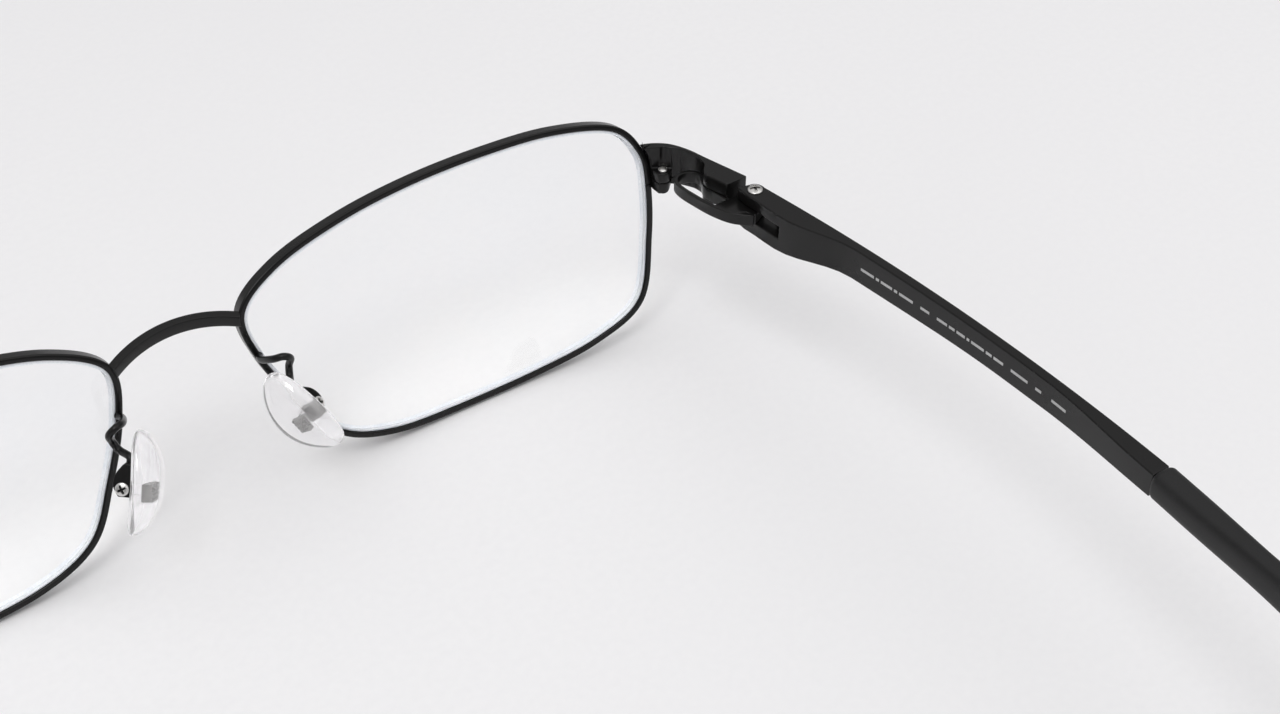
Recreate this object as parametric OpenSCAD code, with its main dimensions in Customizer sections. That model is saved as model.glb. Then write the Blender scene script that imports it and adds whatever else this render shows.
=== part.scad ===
// Full-rim eyeglasses with leaf-spring hinges, screwed nose pads and sleeved temples.
// The front stands on the lower rims and the temple tips. The wearer looks along -Y.
// Everything is modelled for the wearer's left side (+X) and mirrored for the right.

/* [Lenses] */
// Width of each lens
lens_w = 56; // [52:0.5:60]
// Height of each lens
lens_h = 32; // [28:0.5:36]
// Distance between the two lenses at the nose
lens_gap = 16; // [15:0.5:18]
// Radius of the lens curve
lens_curve_r = 122; // [100:1:180]
// Thickness of a lens
lens_t = 1.8; // [1.4:0.1:2.2]
// Lean of the front: the top tips forward by this angle
lean_deg = 16.5; // [14:0.5:18]
// Turn of each lens towards the face
wrap_deg = 1.4; // [1:0.2:2]

/* [Rims and bridge] */
// Width of the rim wire in the plane of the lens
rim_w = 0.8; // [0.8:0.1:1.2]
// Depth of the rim wire, front to back
rim_d = 1.8; // [1.7:0.1:2.1]
// Depth of the groove that holds the lens
groove_depth = 0.25; // [0.2:0.05:0.3]
// Height of the bridge bar
bridge_h = 1.7; // [1.5:0.05:2.4]
// Depth of the bridge bar, front to back
bridge_d = 1.15; // [1:0.05:1.6]
// How far the bridge bows forward
bridge_bow = 2.2; // [1.6:0.1:3]
// How far the bridge arches upward
bridge_rise = 0.9; // [0.5:0.1:2]

/* [Hinges] */
// Sideways distance of a hinge screw from the middle
hinge_x = 70.6; // [70:0.1:71]
// Distance of a hinge screw behind the lens plane
hinge_y = 16.9; // [16.5:0.1:17.5]
// Radius of the hinge screw's shank
hinge_pin_r = 0.6; // [0.5:0.05:0.7]
// Running clearance between the spring's eye and the screw
hinge_clear = 0.05; // [0.02:0.01:0.09]
// Width of the leaf spring's strip
spring_w = 1.7; // [1.4:0.1:1.7]
// Thickness of the leaf spring's strip
spring_t = 0.5; // [0.4:0.05:0.6]

/* [Temples] */
// Height of the metal temple at the hinge
temple_h = 5.7; // [5.4:0.1:6]
// Radius of the temple's outward bow
temple_bow_r = 256; // [230:1:300]
// Length of a temple along its line, hinge to tip
temple_len = 141; // [138:1:145]
// Thickness of the plastic tip
tip_w = 3.6; // [3.2:0.1:4.2]
// Height of the plastic tip
tip_h = 4.2; // [3.8:0.1:5]
// Angle at which the tip drops behind the ear
tip_drop_deg = 37.2; // [36:0.1:40]

/* [Nose pads] */
// Length of a nose pad
pad_len = 12.4; // [12:0.1:14]
// Width of a nose pad
pad_w = 8; // [6.5:0.1:8.5]
// Thickness of a nose pad
pad_t = 2.7; // [2.5:0.1:3]
// Radius of the nose pad screw's shank
pad_pin_r = 0.45; // [0.4:0.01:0.5]
// Running clearance between the insert's eye and the pad screw
pad_clear = 0.04; // [0.02:0.01:0.06]

/* [Hidden] */
$fn = 48;

// Colours
black_paint = [0.06, 0.06, 0.06];
black_plastic = [0.04, 0.04, 0.04];
steel = [0.75, 0.75, 0.76];
clear_glass = [0.85, 0.9, 0.93, 0.35];
clear_silicone = [0.92, 0.92, 0.9, 0.5];

// The origin lies under the middle of the overall depth
origin_y = 72.75;

// Lens outline for a 56 by 32 mm lens: u runs away from the nose, v runs up.
// The first point is the split of the rim at its temple side.
outline_shape = [[28.4, 4.6], [28, 9.4], [24.8, 13.7], [17, 15.7], [7.5, 16.1], [-3, 15.85],
    [-13, 14.85], [-22.3, 12.75], [-27.9, 8.9], [-27.2, 2.2], [-23.9, -5.4], [-19.7, -12.1],
    [-12.6, -15.4], [-3, -16.35], [8, -16.2], [17.6, -14.8], [24.6, -11.2], [27.4, -2.6]];
outline_w = 56.8;
outline_h = 32.5;
outline_steps = 6;
// The rim's centreline runs just outside the lens edge
edge_gap = 0.2;
rim_split = 0.2;
lens_x = (lens_gap + lens_w) / 2;
lens_y = -0.45;
lens_z = 16.12;
lens_clear = 0.03;
tongue_t = 0.56;
groove_w = 0.72;

// Heights at the hinge, and the slot that the spring runs in
hinge_top_z = 27.4;
slot_top_z = 25.5;
slot_h = 1.9;
slot_bottom_z = slot_top_z - slot_h;
spring_z = slot_bottom_z + (slot_h - spring_w) / 2;
block_end_y = 14.2;
split_z = 22.5;
split_gap = 0.1;
plate_step_y = 5.2;
plate_bottom_z = 21.6;

// Rim-lock barrel and its screw
barrel_pos = [65.6, 3.9];
barrel_r = 0.95;
barrel_top_z = 24.1;
barrel_bottom_z = 20.9;
barrel_round_r = 1.5;
rim_screw_r = 0.4;
rim_screw_head_r = 0.62;
rim_screw_head_h = 0.4;
rim_screw_bottom_z = 21.4;
thread_gap = 0.01;
head_clear = 0.04;

// Temple: its widest point, the end of its metal part and its heights
bow_x = 78.4;
bow_y = 74;
metal_end_y = 80;
front_r = 1.4;
front_corner = [-1.2, -1.55];
front_corner_r = 0.25;
temple_t = 2.8;
temple_top_z = 27.2;
temple_rise = 2700;
tip_rise_deg = 2.7;
tip_inward_deg = 3.6;

// How the temple's thickness and height change along it: [from y, to y, change]
thickness_changes = [[17, 23, 0.4], [23, 33, -1.9], [62, metal_end_y, 1.1]];
height_changes = [[20.5, 31.5, -0.95], [34, 56, -0.45], [60, metal_end_y, -0.95]];
temple_row = 1.75;

// The core inside the plastic tip, the gap where the tip begins, and the hinge screw
core_r = 0.7;
core_len = 20;
core_gap = 0.03;
core_root = 0.5;
tip_gap = 0.2;
hinge_head_r = 0.95;
hinge_head_h = 0.45;
hinge_blind = 0.6;
hinge_eye_r = 1.35;

// The temple's window for the spring: its reach from the hinge in front, behind and sideways,
// and the radius that the spring's bend sweeps as the temple folds
window_front = 3;
window_back = 5.75;
window_side = 0.9;
window_mid = 1.9;
window_sweep_r = 3.6;

// Sizes of cutting and covering shapes that only have to be large enough
blank_x = 60;
blank_w = 30;
blank_h = 40;
over = 1;

// Nose pad: its pivot, its turn in space and the parts around the pivot
pad_pivot = [11.8, 8.85, 15.6];
pad_turn = [33, -4, -38];
pad_back_x = -1.5;
pad_mid_z = 0.6;
pad_bow = 1;
box_half_w = 1.1;
box_wall = 0.35;
box_front_x = -0.95;
box_bottom_z = -0.95;
box_roof_z = 1.5;
box_cavity_x = 0.75;
pad_head_r = 0.8;
pad_head_h = 0.4;
insert_eye_r = 0.7;
insert_eye_half_w = 0.65;
insert_plate = [0.8, 1.5, 1.9];
insert_plate_x = -2.75;
insert_mid_z = -0.2;
insert_groove = 0.25;
insert_groove_pitch = 0.5;
insert_neck_w = 0.9;
insert_neck_h = 1.1;

// A point on a Catmull-Rom curve between p1 and p2
function spline_point(p0, p1, p2, p3, t) =
    0.5 * (2 * p1 + (p2 - p0) * t + (2 * p0 - 5 * p1 + 4 * p2 - p3) * t * t
    + (3 * p1 - p0 - 3 * p2 + p3) * t * t * t);

// A closed smooth curve through points, with steps pieces between each two
function closed_curve(points, steps) = let (n = len(points))
    [for (i = [0:n - 1], k = [0:steps - 1])
        spline_point(points[(i + n - 1) % n], points[i], points[(i + 1) % n], points[(i + 2) % n],
            k / steps)];

// An open smooth curve through points, end points included
function open_curve(points, steps) = let (n = len(points), last = points[n - 1])
    concat([for (i = [0:n - 2], k = [0:steps - 1])
        spline_point(i > 0 ? points[i - 1] : 2 * points[0] - points[1], points[i], points[i + 1],
            i < n - 2 ? points[i + 2] : 2 * last - points[n - 2], k / steps)], [last]);

function unit(v) = v / norm(v);

// Outward normal at point i of a closed curve that runs anticlockwise
function outward(curve, i) = let (n = len(curve), d = curve[(i + 1) % n] - curve[(i + n - 1) % n])
    unit([d[1], -d[0]]);

// A closed curve moved outward by a distance
function moved_curve(curve, distance) =
    [for (i = [0:len(curve) - 1]) curve[i] + distance * outward(curve, i)];

// How far the lens surface lies behind its apex at a point of the outline
function lens_sag(p) = lens_curve_r - sqrt(lens_curve_r * lens_curve_r - p[0] * p[0] - p[1] * p[1]);

// The outline runs clockwise in (u, v), so it is turned round before use
outline_scale = [(lens_w + 2 * edge_gap) / outline_w, (lens_h + 2 * edge_gap) / outline_h];
rim_curve = closed_curve([for (p = outline_shape) [p[0] * outline_scale[0], p[1] * outline_scale[1]]],
    outline_steps);

// The rim wire's section: [outward, backward] from its centreline, with the lens groove
rim_edge = 0.15;
rim_section = let (r = rim_w / 2, d = rim_d / 2, g = groove_w / 2, e = rim_edge)
    [[r, -d + e], [r, d - e], [r - e, d], [-r + e, d], [-r, d - e], [-r, g],
    [-r + groove_depth, g], [-r + groove_depth, -g], [-r, -g], [-r, -d + e], [-r + e, -d], [r - e, -d]];

// Joins rings of points into one closed solid. Its ends are flat, or are fans about their middles.
module loft(rings, fans = false) {
    n = len(rings);
    m = len(rings[0]);
    share = [for (k = [1:m]) 1 / m];
    points = concat([for (ring = rings, p = ring) p], [share * rings[0], share * rings[n - 1]]);
    walls = [for (i = [0:n - 2], k = [0:m - 1]) let (a = i * m + k, b = i * m + (k + 1) % m)
        each [[a, b, b + m], [a, b + m, a + m]]];
    start = n * m - m;
    ends = fans
        ? [for (k = [0:m - 1]) let (next = (k + 1) % m)
            each [[next, k, n * m], [start + k, start + next, n * m + 1]]]
        : [[for (k = [m - 1:-1:0]) k], [for (k = [0:m - 1]) start + k]];
    polyhedron(points, concat(walls, ends));
}

// The direction of a path at point i, and a sideways vector turned square to a direction
function ahead(path, i) = unit(path[min(i + 1, len(path) - 1)] - path[max(i - 1, 0)]);
function squared(side, direction) = unit(side - (side * direction) * direction);

// Oval rings along a path, without twist; width starts level and height starts upright
function path_rings(path, widths, heights, sides) = let (
    n = len(path),
    first = unit(cross(ahead(path, 0), [0, 0, 1])),
    sideways = [for (i = 0, s = first; i < n; i = i + 1, s = squared(s, ahead(path, i))) s])
    [for (i = [0:n - 1]) let (up = cross(sideways[i], ahead(path, i)))
        [for (k = [0:sides - 1]) let (a = 360 * k / sides)
            path[i] + sideways[i] * widths[i] / 2 * cos(a) + up * heights[i] / 2 * sin(a)]];

// Puts a piece that is modelled on the left in its place, mirrored for the right side
module on_side(side) {
    translate([0, -origin_y, 0])
        mirror([side == "right" ? 1 : 0, 0, 0])
            children();
}

// The lens frame: X runs away from the nose, Y runs back and Z runs up the lens
module lens_frame() {
    translate([0, 0, lens_z])
        rotate([lean_deg, 0, 0])
            translate([lens_x, lens_y, 0])
                rotate([0, 0, wrap_deg])
                    children();
}

// A prism over the rim's outline, moved outward by a distance, in the lens frame
module outline_prism(distance, depth) {
    rotate([90, 0, 0])
        linear_extrude(height = depth, center = true)
            polygon(moved_curve(rim_curve, distance));
}

// A shell about the lens curve, in the lens frame
module lens_shell(thickness) {
    translate([0, lens_curve_r, 0])
        difference() {
            sphere(r = lens_curve_r + thickness / 2, $fn = 96);
            sphere(r = lens_curve_r - thickness / 2, $fn = 96);
        }
}

// Everything inside the rim's outer face, as far as a depth behind the rim's centreline;
// brazed pieces are cut back to it
module rim_envelope(rear) {
    edge_sag = lens_sag([lens_w / 2, 0]);
    lens_frame()
        translate([0, (edge_sag + rear - rim_d) / 2, 0])
            outline_prism(rim_w / 2, edge_sag + rear + rim_d);
}

// The rim: a grooved wire round the lens, split at its temple side
module rim(side) {
    n = len(rim_curve);
    color(black_paint)
        on_side(side)
            lens_frame()
                loft([for (i = [0:n]) let (
                    here = rim_curve[i % n],
                    next = rim_curve[(i + (i == n ? n - 1 : 1)) % n],
                    shift = (i == 0 || i == n) ? rim_split / 2 : 0,
                    p = here + unit(next - here) * shift,
                    out = outward(rim_curve, i % n),
                    sag = lens_sag(p - out * (rim_w / 2 - groove_depth / 2)))
                    [for (s = rim_section) [p[0] + out[0] * s[0], sag + s[1], p[1] + out[1] * s[0]]]]);
}

// The lens: two spherical faces, with a tongue round its edge that sits in the groove
module lens(side) {
    color(clear_glass)
        on_side(side)
            lens_frame() {
                intersection() {
                    outline_prism(-rim_w / 2 - lens_clear, blank_w);
                    lens_shell(lens_t);
                }
                intersection() {
                    outline_prism(-edge_gap, blank_w);
                    lens_shell(tongue_t);
                }
            }
}

// A round wall about Z, with its middle at a radius
module curved_band(radius, thickness, height, facets) {
    difference() {
        cylinder(r = radius + thickness / 2, h = height, center = true, $fn = facets);
        cylinder(r = radius - thickness / 2, h = height + over, center = true, $fn = facets);
    }
}

// The bridge's end behind the front's zero line and above the ground, and how deep it is let in
bridge_end = [0.6, 25];
bridge_inset = 0.15;

// The bridge: a bar that bows forward and arches up between the rims
module bridge() {
    reach = lens_gap / 2;
    bow_r = (reach * reach + bridge_bow * bridge_bow) / (2 * bridge_bow);
    arch_r = (reach * reach + bridge_rise * bridge_rise) / (2 * bridge_rise);
    end_x = reach - bridge_inset;
    band = 8;
    color(black_paint)
        translate([0, -origin_y, 0])
            difference() {
                intersection() {
                    translate([0, bridge_end[0] - bridge_bow + bow_r, bridge_end[1]])
                        curved_band(bow_r, bridge_d, band, 180);
                    translate([0, 0, bridge_end[1] + bridge_rise - arch_r])
                        rotate([90, 0, 0])
                            curved_band(arch_r, bridge_h, 2 * band, 360);
                    translate([0, 0, bridge_end[1]])
                        cube([2 * end_x, 2 * band, band], center = true);
                }
                rim_envelope(rim_d);
                mirror([1, 0, 0])
                    rim_envelope(rim_d);
            }
}

// Endpiece outline from above: a thin plate turns the corner, then thickens to a block
endpiece_outer = open_curve([[63.6, 1.2], [65.4, 2], [67.1, 3.4], [68.4, 5.7], [69.3, 8.4],
    [71.3, block_end_y]], 6);
endpiece_inner = concat([[68.2, block_end_y]],
    open_curve([[67.5, 12.2], [67.15, 11], [67.5, 10.1], [68.3, 9.1], [68.4, 7.4], [68, 6.1],
    [67.45, 5], [66.6, 4.05], [65.5, 3.2], [63.6, 2.2]], 4));

// Endpiece outline from the side: [y, z], stepped at the split and tapered under the block
endpiece_side = [[0, split_z + split_gap], [plate_step_y, split_z + split_gap],
    [plate_step_y, plate_bottom_z], [8.8, 22.2], [12, 23.1], [block_end_y, 23.8],
    [block_end_y, hinge_top_z], [0, hinge_top_z]];

// The rim-lock barrel from above, joined to the corner of the plate
module barrel_shape() {
    difference() {
        union() {
            translate(barrel_pos)
                circle(r = barrel_r);
            polygon([[64.2, 1.9], [66, 2.6], [66.9, 4.2], barrel_pos + [0.2, barrel_r],
                barrel_pos + [-1, 0.6]]);
        }
        translate(barrel_pos)
            circle(r = rim_screw_r + thread_gap);
    }
}

// The endpiece: brazed to the rim's upper end, it carries the spring and the temple's stop
module endpiece(side) {
    color(black_paint)
        on_side(side)
            difference() {
                union() {
                    intersection() {
                        linear_extrude(height = blank_h)
                            polygon(concat(endpiece_outer, endpiece_inner));
                        translate([blank_x, 0, 0])
                            rotate([90, 0, 90])
                                linear_extrude(height = blank_w)
                                    polygon(endpiece_side);
                    }
                    translate([0, 0, split_z + split_gap])
                        linear_extrude(height = barrel_top_z - split_z - split_gap)
                            barrel_shape();
                }
                translate([barrel_pos[0], barrel_pos[1], split_z])
                    cylinder(r = rim_screw_r + thread_gap, h = barrel_top_z - split_z + over);
                translate([barrel_pos[0], barrel_pos[1], barrel_top_z])
                    cylinder(r = rim_screw_head_r + head_clear, h = blank_h);
                rim_envelope(rim_d);
                spring_pocket();
            }
}

// The rebate in the endpiece that the spring's fixed leg lies in
module spring_pocket() {
    leg = [for (i = [0:fixed_leg * spring_steps]) spring_line[i] - spring_sides[i]];
    translate([0, 0, spring_z])
        linear_extrude(height = spring_w)
            polygon(concat([[blank_x, leg[0][1]]], leg, [[blank_x, leg[len(leg) - 1][1]]]));
}

// The lower closing block: brazed to the rim's lower end, threaded for the rim-lock screw
module closing_block(side) {
    color(black_paint)
        on_side(side)
            difference() {
                union() {
                    intersection() {
                        translate([0, 0, plate_bottom_z - split_gap])
                            linear_extrude(height = split_z - plate_bottom_z + split_gap)
                                polygon(concat(endpiece_outer, endpiece_inner));
                        translate([blank_x, 0, 0])
                            cube([blank_w, plate_step_y - split_gap, blank_h]);
                    }
                    intersection() {
                        translate([0, 0, barrel_bottom_z])
                            linear_extrude(height = split_z - barrel_bottom_z)
                                barrel_shape();
                        translate([barrel_pos[0] - 0.4, barrel_pos[1], barrel_bottom_z + barrel_round_r])
                            rotate([90, 0, 0])
                                cylinder(r = barrel_round_r, h = blank_w, center = true);
                    }
                }
                translate([barrel_pos[0], barrel_pos[1], rim_screw_bottom_z])
                    cylinder(r = rim_screw_r + thread_gap, h = split_z - rim_screw_bottom_z + over);
                rim_envelope(rim_d);
            }
}

// A slotted or crossed screw with a domed head; it hangs down from z = 0
module screw(head_r, head_h, shank_r, shank_len, cross_slots) {
    slot_w = head_r * 0.28;
    slot_depth = head_h * 0.55;
    slot_len = head_r * (cross_slots ? 1.3 : 2.2);
    difference() {
        union() {
            translate([0, 0, -shank_len])
                cylinder(r = shank_r, h = shank_len);
            intersection() {
                cylinder(r = head_r, h = head_h);
                translate([0, 0, head_h - 2 * head_r])
                    sphere(r = 2 * head_r);
            }
        }
        for (turn = cross_slots ? [0, 90] : [0])
            rotate([0, 0, turn])
                translate([-slot_len / 2, -slot_w / 2, head_h - slot_depth])
                    cube([slot_len, slot_w, head_h]);
    }
}

// How far the screws' slots are turned from the sideways direction
slot_turn = 25;

// The rim-lock screw, which draws the two ends of the rim together
module rim_screw(side) {
    color(steel)
        on_side(side)
            translate([barrel_pos[0], barrel_pos[1], barrel_top_z])
                rotate([0, 0, slot_turn])
                    screw(rim_screw_head_r, rim_screw_head_h, rim_screw_r,
                        barrel_top_z - rim_screw_bottom_z, false);
}

// The leaf spring's line from above: along its rebate, round a hairpin and back to the eye
spring_steps = 5;
spring_line = open_curve([[68.15, 14.5], [67.6, 12.3], [67.27, 11.1], [67.6, 10.1], [68.15, 9.1],
    [67.95, 7.95], [67.05, 7.2], [65.8, 7.15], [64.85, 7.95], [64.7, 9.4], [65.05, 11.4],
    [65.8, 14.4], [67, 17], [69, 19]], spring_steps);
spring_sides = [for (i = [0:len(spring_line) - 1]) let (d = ahead(spring_line, i))
    [d[1], -d[0]] * spring_t / 2];
// How many of its first spans lie in the rebate
fixed_leg = 5;

// The flat web between the strip's rear end and the eye, close behind the endpiece
spring_web = [[65.95, 14.65], [69.6, 14.65], [71.3, 15.7], [71, 18.1], [69.2, 19.15], [68.85, 18.8],
    [68.5, 18], [67, 17]];

// The leaf spring: a flat strip that ends in a web and an eye about the hinge screw
module leaf_spring(side) {
    last = len(spring_line) - 1;
    color(black_paint)
        on_side(side)
            translate([0, 0, spring_z])
                difference() {
                    union() {
                        linear_extrude(height = spring_w)
                            polygon(concat([for (i = [0:last]) spring_line[i] + spring_sides[i]],
                                [for (i = [last:-1:0]) spring_line[i] - spring_sides[i]]));
                        translate([hinge_x, hinge_y, 0])
                            cylinder(r = hinge_eye_r, h = spring_w);
                        linear_extrude(height = spring_w)
                            polygon(spring_web);
                    }
                    translate([hinge_x, hinge_y, -over])
                        cylinder(r = hinge_pin_r + hinge_clear, h = spring_w + 2 * over);
                }
}

// The temple's outer face is an arc; its thickness swells at both ends
function temple_outer_x(y) = bow_x - temple_bow_r + sqrt(pow(temple_bow_r, 2) - pow(y - bow_y, 2));
function ease(a, b, y) = y <= a ? 0 : y >= b ? 1 : (1 - cos(180 * (y - a) / (b - a))) / 2;
function changed(start, changes, y) =
    start + [for (c = changes) c[2] * ease(c[0], c[1], y)] * [for (c = changes) 1];
function temple_thickness(y) = changed(temple_t, thickness_changes, y);
function temple_top(y) = temple_top_z + pow(y - hinge_y, 2) / temple_rise;
function temple_height(y) = changed(temple_h, height_changes, y);

// The temple's front end about the hinge: round outside, with a fuller corner inside
module temple_front() {
    cylinder(r = front_r, h = blank_h);
    translate([front_corner[0], front_corner[1], 0])
        cylinder(r = front_corner_r, h = blank_h);
    linear_extrude(height = blank_h)
        polygon([[0, 0], [0, -front_r], front_corner - [0, front_corner_r],
            front_corner - [front_corner_r, 0], [front_corner[0] - front_corner_r, 0]]);
}

module temple_blank() {
    rows = concat([for (y = [hinge_y:temple_row:metal_end_y - temple_row / 3]) y], [metal_end_y]);
    back = [for (i = [len(rows) - 1:-1:0]) rows[i]];
    intersection() {
        union() {
            linear_extrude(height = blank_h)
                polygon(concat([for (y = rows) [temple_outer_x(y), y]],
                    [for (y = back) [temple_outer_x(y) - temple_thickness(y), y]]));
            translate([hinge_x, hinge_y, 0])
                temple_front();
        }
        translate([blank_x, 0, 0])
            rotate([90, 0, 90])
                linear_extrude(height = blank_w)
                    polygon(concat([[0, temple_top_z]], [for (y = rows) [y, temple_top(y)]],
                        [for (y = back) [y, temple_top(y) - temple_height(y)]],
                        [[0, temple_top_z - temple_h]]));
    }
}

// Where the metal core enters the plastic tip
core_start = [temple_outer_x(metal_end_y) - temple_thickness(metal_end_y) / 2, metal_end_y,
    temple_top(metal_end_y) - temple_height(metal_end_y) / 2];
core_turn = [-90 + tip_rise_deg, 0, tip_inward_deg];

module temple_core(radius, length, start) {
    translate(core_start)
        rotate(core_turn)
            translate([0, 0, start])
                cylinder(r = radius, h = length);
}

// The window between the temple's ears, about the hinge; it clears the spring as the temple folds
module spring_window() {
    cylinder(r = window_sweep_r, h = slot_h);
    translate([-blank_w / 2, -window_front, 0])
        cube([blank_w, window_front + window_mid, slot_h]);
    translate([window_side - blank_w, 0, 0])
        cube([blank_w, window_back, slot_h]);
}

// The metal temple: forked at the hinge, with a window for the spring and a core for the tip
module temple(side) {
    color(black_paint)
        on_side(side)
            difference() {
                union() {
                    temple_blank();
                    temple_core(core_r, core_len + core_root, -core_root);
                }
                translate([hinge_x, hinge_y, slot_bottom_z])
                    spring_window();
                translate([hinge_x, hinge_y, temple_top_z - temple_h + hinge_blind])
                    cylinder(r = hinge_pin_r + thread_gap, h = temple_h);
            }
}

// The hinge screw, held in the temple's ears
module hinge_screw(side) {
    color(steel)
        on_side(side)
            translate([hinge_x, hinge_y, temple_top_z])
                rotate([0, 0, slot_turn])
                    screw(hinge_head_r, hinge_head_h, hinge_pin_r, temple_h - hinge_blind - 0.2, true);
}

// The plastic tip: a sleeve on the metal core that drops behind the ear
tip_bend_r = 45;
tip_corner = 97;
tip_line_z = core_start[2] + 0.25;
tip_straight = tip_corner - (metal_end_y - hinge_y) - tip_bend_r * tan(tip_drop_deg / 2);
tip_bend = tip_bend_r * tip_drop_deg * PI / 180;
tip_total = temple_len - (metal_end_y - hinge_y);

// The tip's line by distance s: straight, an arc, and a straight drop, drawn in gently
function tip_point(s) = let (
    turn = min(max((s - tip_straight) / tip_bend_r * 180 / PI, 0), tip_drop_deg),
    flat = min(s, tip_straight),
    past = max(s - tip_straight - tip_bend, 0),
    y = metal_end_y + tip_gap + flat + tip_bend_r * sin(turn) + past * cos(turn),
    z = tip_line_z + flat * tan(tip_rise_deg) - tip_bend_r * (1 - cos(turn)) - past * sin(turn),
    x = core_start[0] - tan(tip_inward_deg) * (y - metal_end_y))
    [x, y, z];

module temple_tip(side) {
    steps = 32;
    stations = concat([0, 0.7], [for (i = [2:steps]) tip_total * (i - 1) / (steps - 1)]);
    ends = [for (s = stations) 1 - 0.15 * (1 - ease(0, 1.5, s))
        - 0.6 * pow(ease(tip_total - 3, tip_total, s), 2)];
    path = [for (s = stations) tip_point(s)];
    widths = [for (i = [0:steps]) tip_w * ends[i] * (1 - 0.22 * ease(3, 16, stations[i]))];
    heights = [for (i = [0:steps]) tip_h * ends[i] * (1 + 0.28 * ease(13, 30, stations[i]))];
    color(black_plastic)
        on_side(side)
            difference() {
                loft(path_rings(path, widths, heights, 12));
                temple_core(core_r + core_gap, core_len + core_root + core_gap, -core_root);
            }
}

// The pad frame: Y runs along the pad screw, Z up the pad and -X towards the nose
module pad_frame() {
    translate(pad_pivot)
        rotate(pad_turn)
            children();
}

// A point of the pad frame in the front's own frame
function turned(p) = let (
    a = pad_turn[0], b = pad_turn[1], c = pad_turn[2],
    x1 = p[0], y1 = p[1] * cos(a) - p[2] * sin(a), z1 = p[1] * sin(a) + p[2] * cos(a),
    x2 = x1 * cos(b) + z1 * sin(b), z2 = -x1 * sin(b) + z1 * cos(b))
    pad_pivot + [x2 * cos(c) - y1 * sin(c), x2 * sin(c) + y1 * cos(c), z2];

// The pad arm: a bent wire from the rim to a small open box that holds the pad
pad_wire_d = 0.9;
pad_wire = open_curve([[8.95, 1.6, 19.5], [8.75, 2.9, 19.9], [9.4, 5, 21.3], [10.4, 5.9, 21.9],
    [11.3, 5.7, 21], [11.1, 5.3, 19.6], [10.7, 6, 18.5], turned([-0.4, 0, 3.5]),
    turned([-0.4, 0, 2.2])], 5);

// The side of the box, seen along the pad screw: straight towards the pad and round behind
pad_box_side = concat([[box_front_x, box_bottom_z], [box_front_x, 2.9], [-0.2, 3]],
    open_curve([[0.1, 2.8], [0.75, 1.9], [1.05, 0.9], [1.05, 0.2], [0.8, -0.4], [0.45, box_bottom_z]], 3));

module pad_arm(side) {
    wire_sizes = [for (p = pad_wire) pad_wire_d];
    color(black_paint)
        on_side(side)
            difference() {
                union() {
                    loft(path_rings(pad_wire, wire_sizes, wire_sizes, 10));
                    pad_frame()
                        rotate([90, 0, 0])
                            linear_extrude(height = 2 * box_half_w, center = true)
                                polygon(pad_box_side);
                }
                pad_frame() {
                    translate([box_front_x - over, -box_half_w + box_wall, box_bottom_z - over])
                        cube([box_cavity_x - box_front_x + over, 2 * (box_half_w - box_wall),
                            box_roof_z - box_bottom_z + over]);
                    rotate([90, 0, 0])
                        cylinder(r = pad_pin_r + thread_gap, h = 4 * box_half_w, center = true);
                }
                rim_envelope(rim_d / 2);
            }
}

// The pad screw, through the box and the insert's eye
module pad_screw(side) {
    color(steel)
        on_side(side)
            pad_frame()
                translate([0, box_half_w, 0])
                    rotate([-90, 0, 0])
                        screw(pad_head_r, pad_head_h, pad_pin_r, 2 * box_half_w - 0.1, true);
}

// The insert's plate, neck and eye, without the bore
module insert_plate_and_neck() {
    translate([insert_plate_x, -insert_plate[1] / 2, insert_mid_z - insert_plate[2] / 2])
        cube(insert_plate);
    translate([insert_plate_x + insert_plate[0], -insert_neck_w / 2, -insert_neck_h / 2])
        cube([-insert_plate_x - insert_plate[0], insert_neck_w, insert_neck_h]);
}

// The metal insert moulded into the pad, with an eye that rocks on the pad screw
module pad_insert(side) {
    color(steel)
        on_side(side)
            pad_frame()
                difference() {
                    union() {
                        insert_plate_and_neck();
                        rotate([90, 0, 0])
                            cylinder(r = insert_eye_r, h = 2 * insert_eye_half_w, center = true);
                    }
                    rotate([90, 0, 0])
                        cylinder(r = pad_pin_r + pad_clear, h = 4 * box_half_w, center = true);
                    for (row = [-1:1])
                        translate([insert_plate_x, 0, insert_mid_z + insert_groove_pitch * row])
                            cube([insert_groove, 2 * insert_plate[1], insert_groove], center = true);
                }
}

// The pad's section by depth: [share of its thickness, share of its outline]
pad_profile = [[0, 0.35], [0, 0.8], [0.08, 0.92], [0.25, 1], [0.5, 0.97], [0.72, 0.87], [0.88, 0.7],
    [0.97, 0.45], [1, 0.2]];

// The silicone pad: flat at the back, domed where it meets the nose, with its two ends bowed back
module nose_pad(side) {
    sides = 32;
    color(clear_silicone)
        on_side(side)
            pad_frame()
                difference() {
                    loft([for (layer = pad_profile)
                        [for (k = [0:sides - 1]) let (a = 360 * k / sides,
                            squeeze = 1 - 0.1 * sin(a),
                            along = layer[1] * sin(a))
                            [pad_back_x - pad_t * layer[0] + pad_bow * along * along,
                            pad_w / 2 * layer[1] * squeeze * cos(a),
                            pad_mid_z + pad_len / 2 * along]]], fans = true);
                    insert_plate_and_neck();
                }
}

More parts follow.
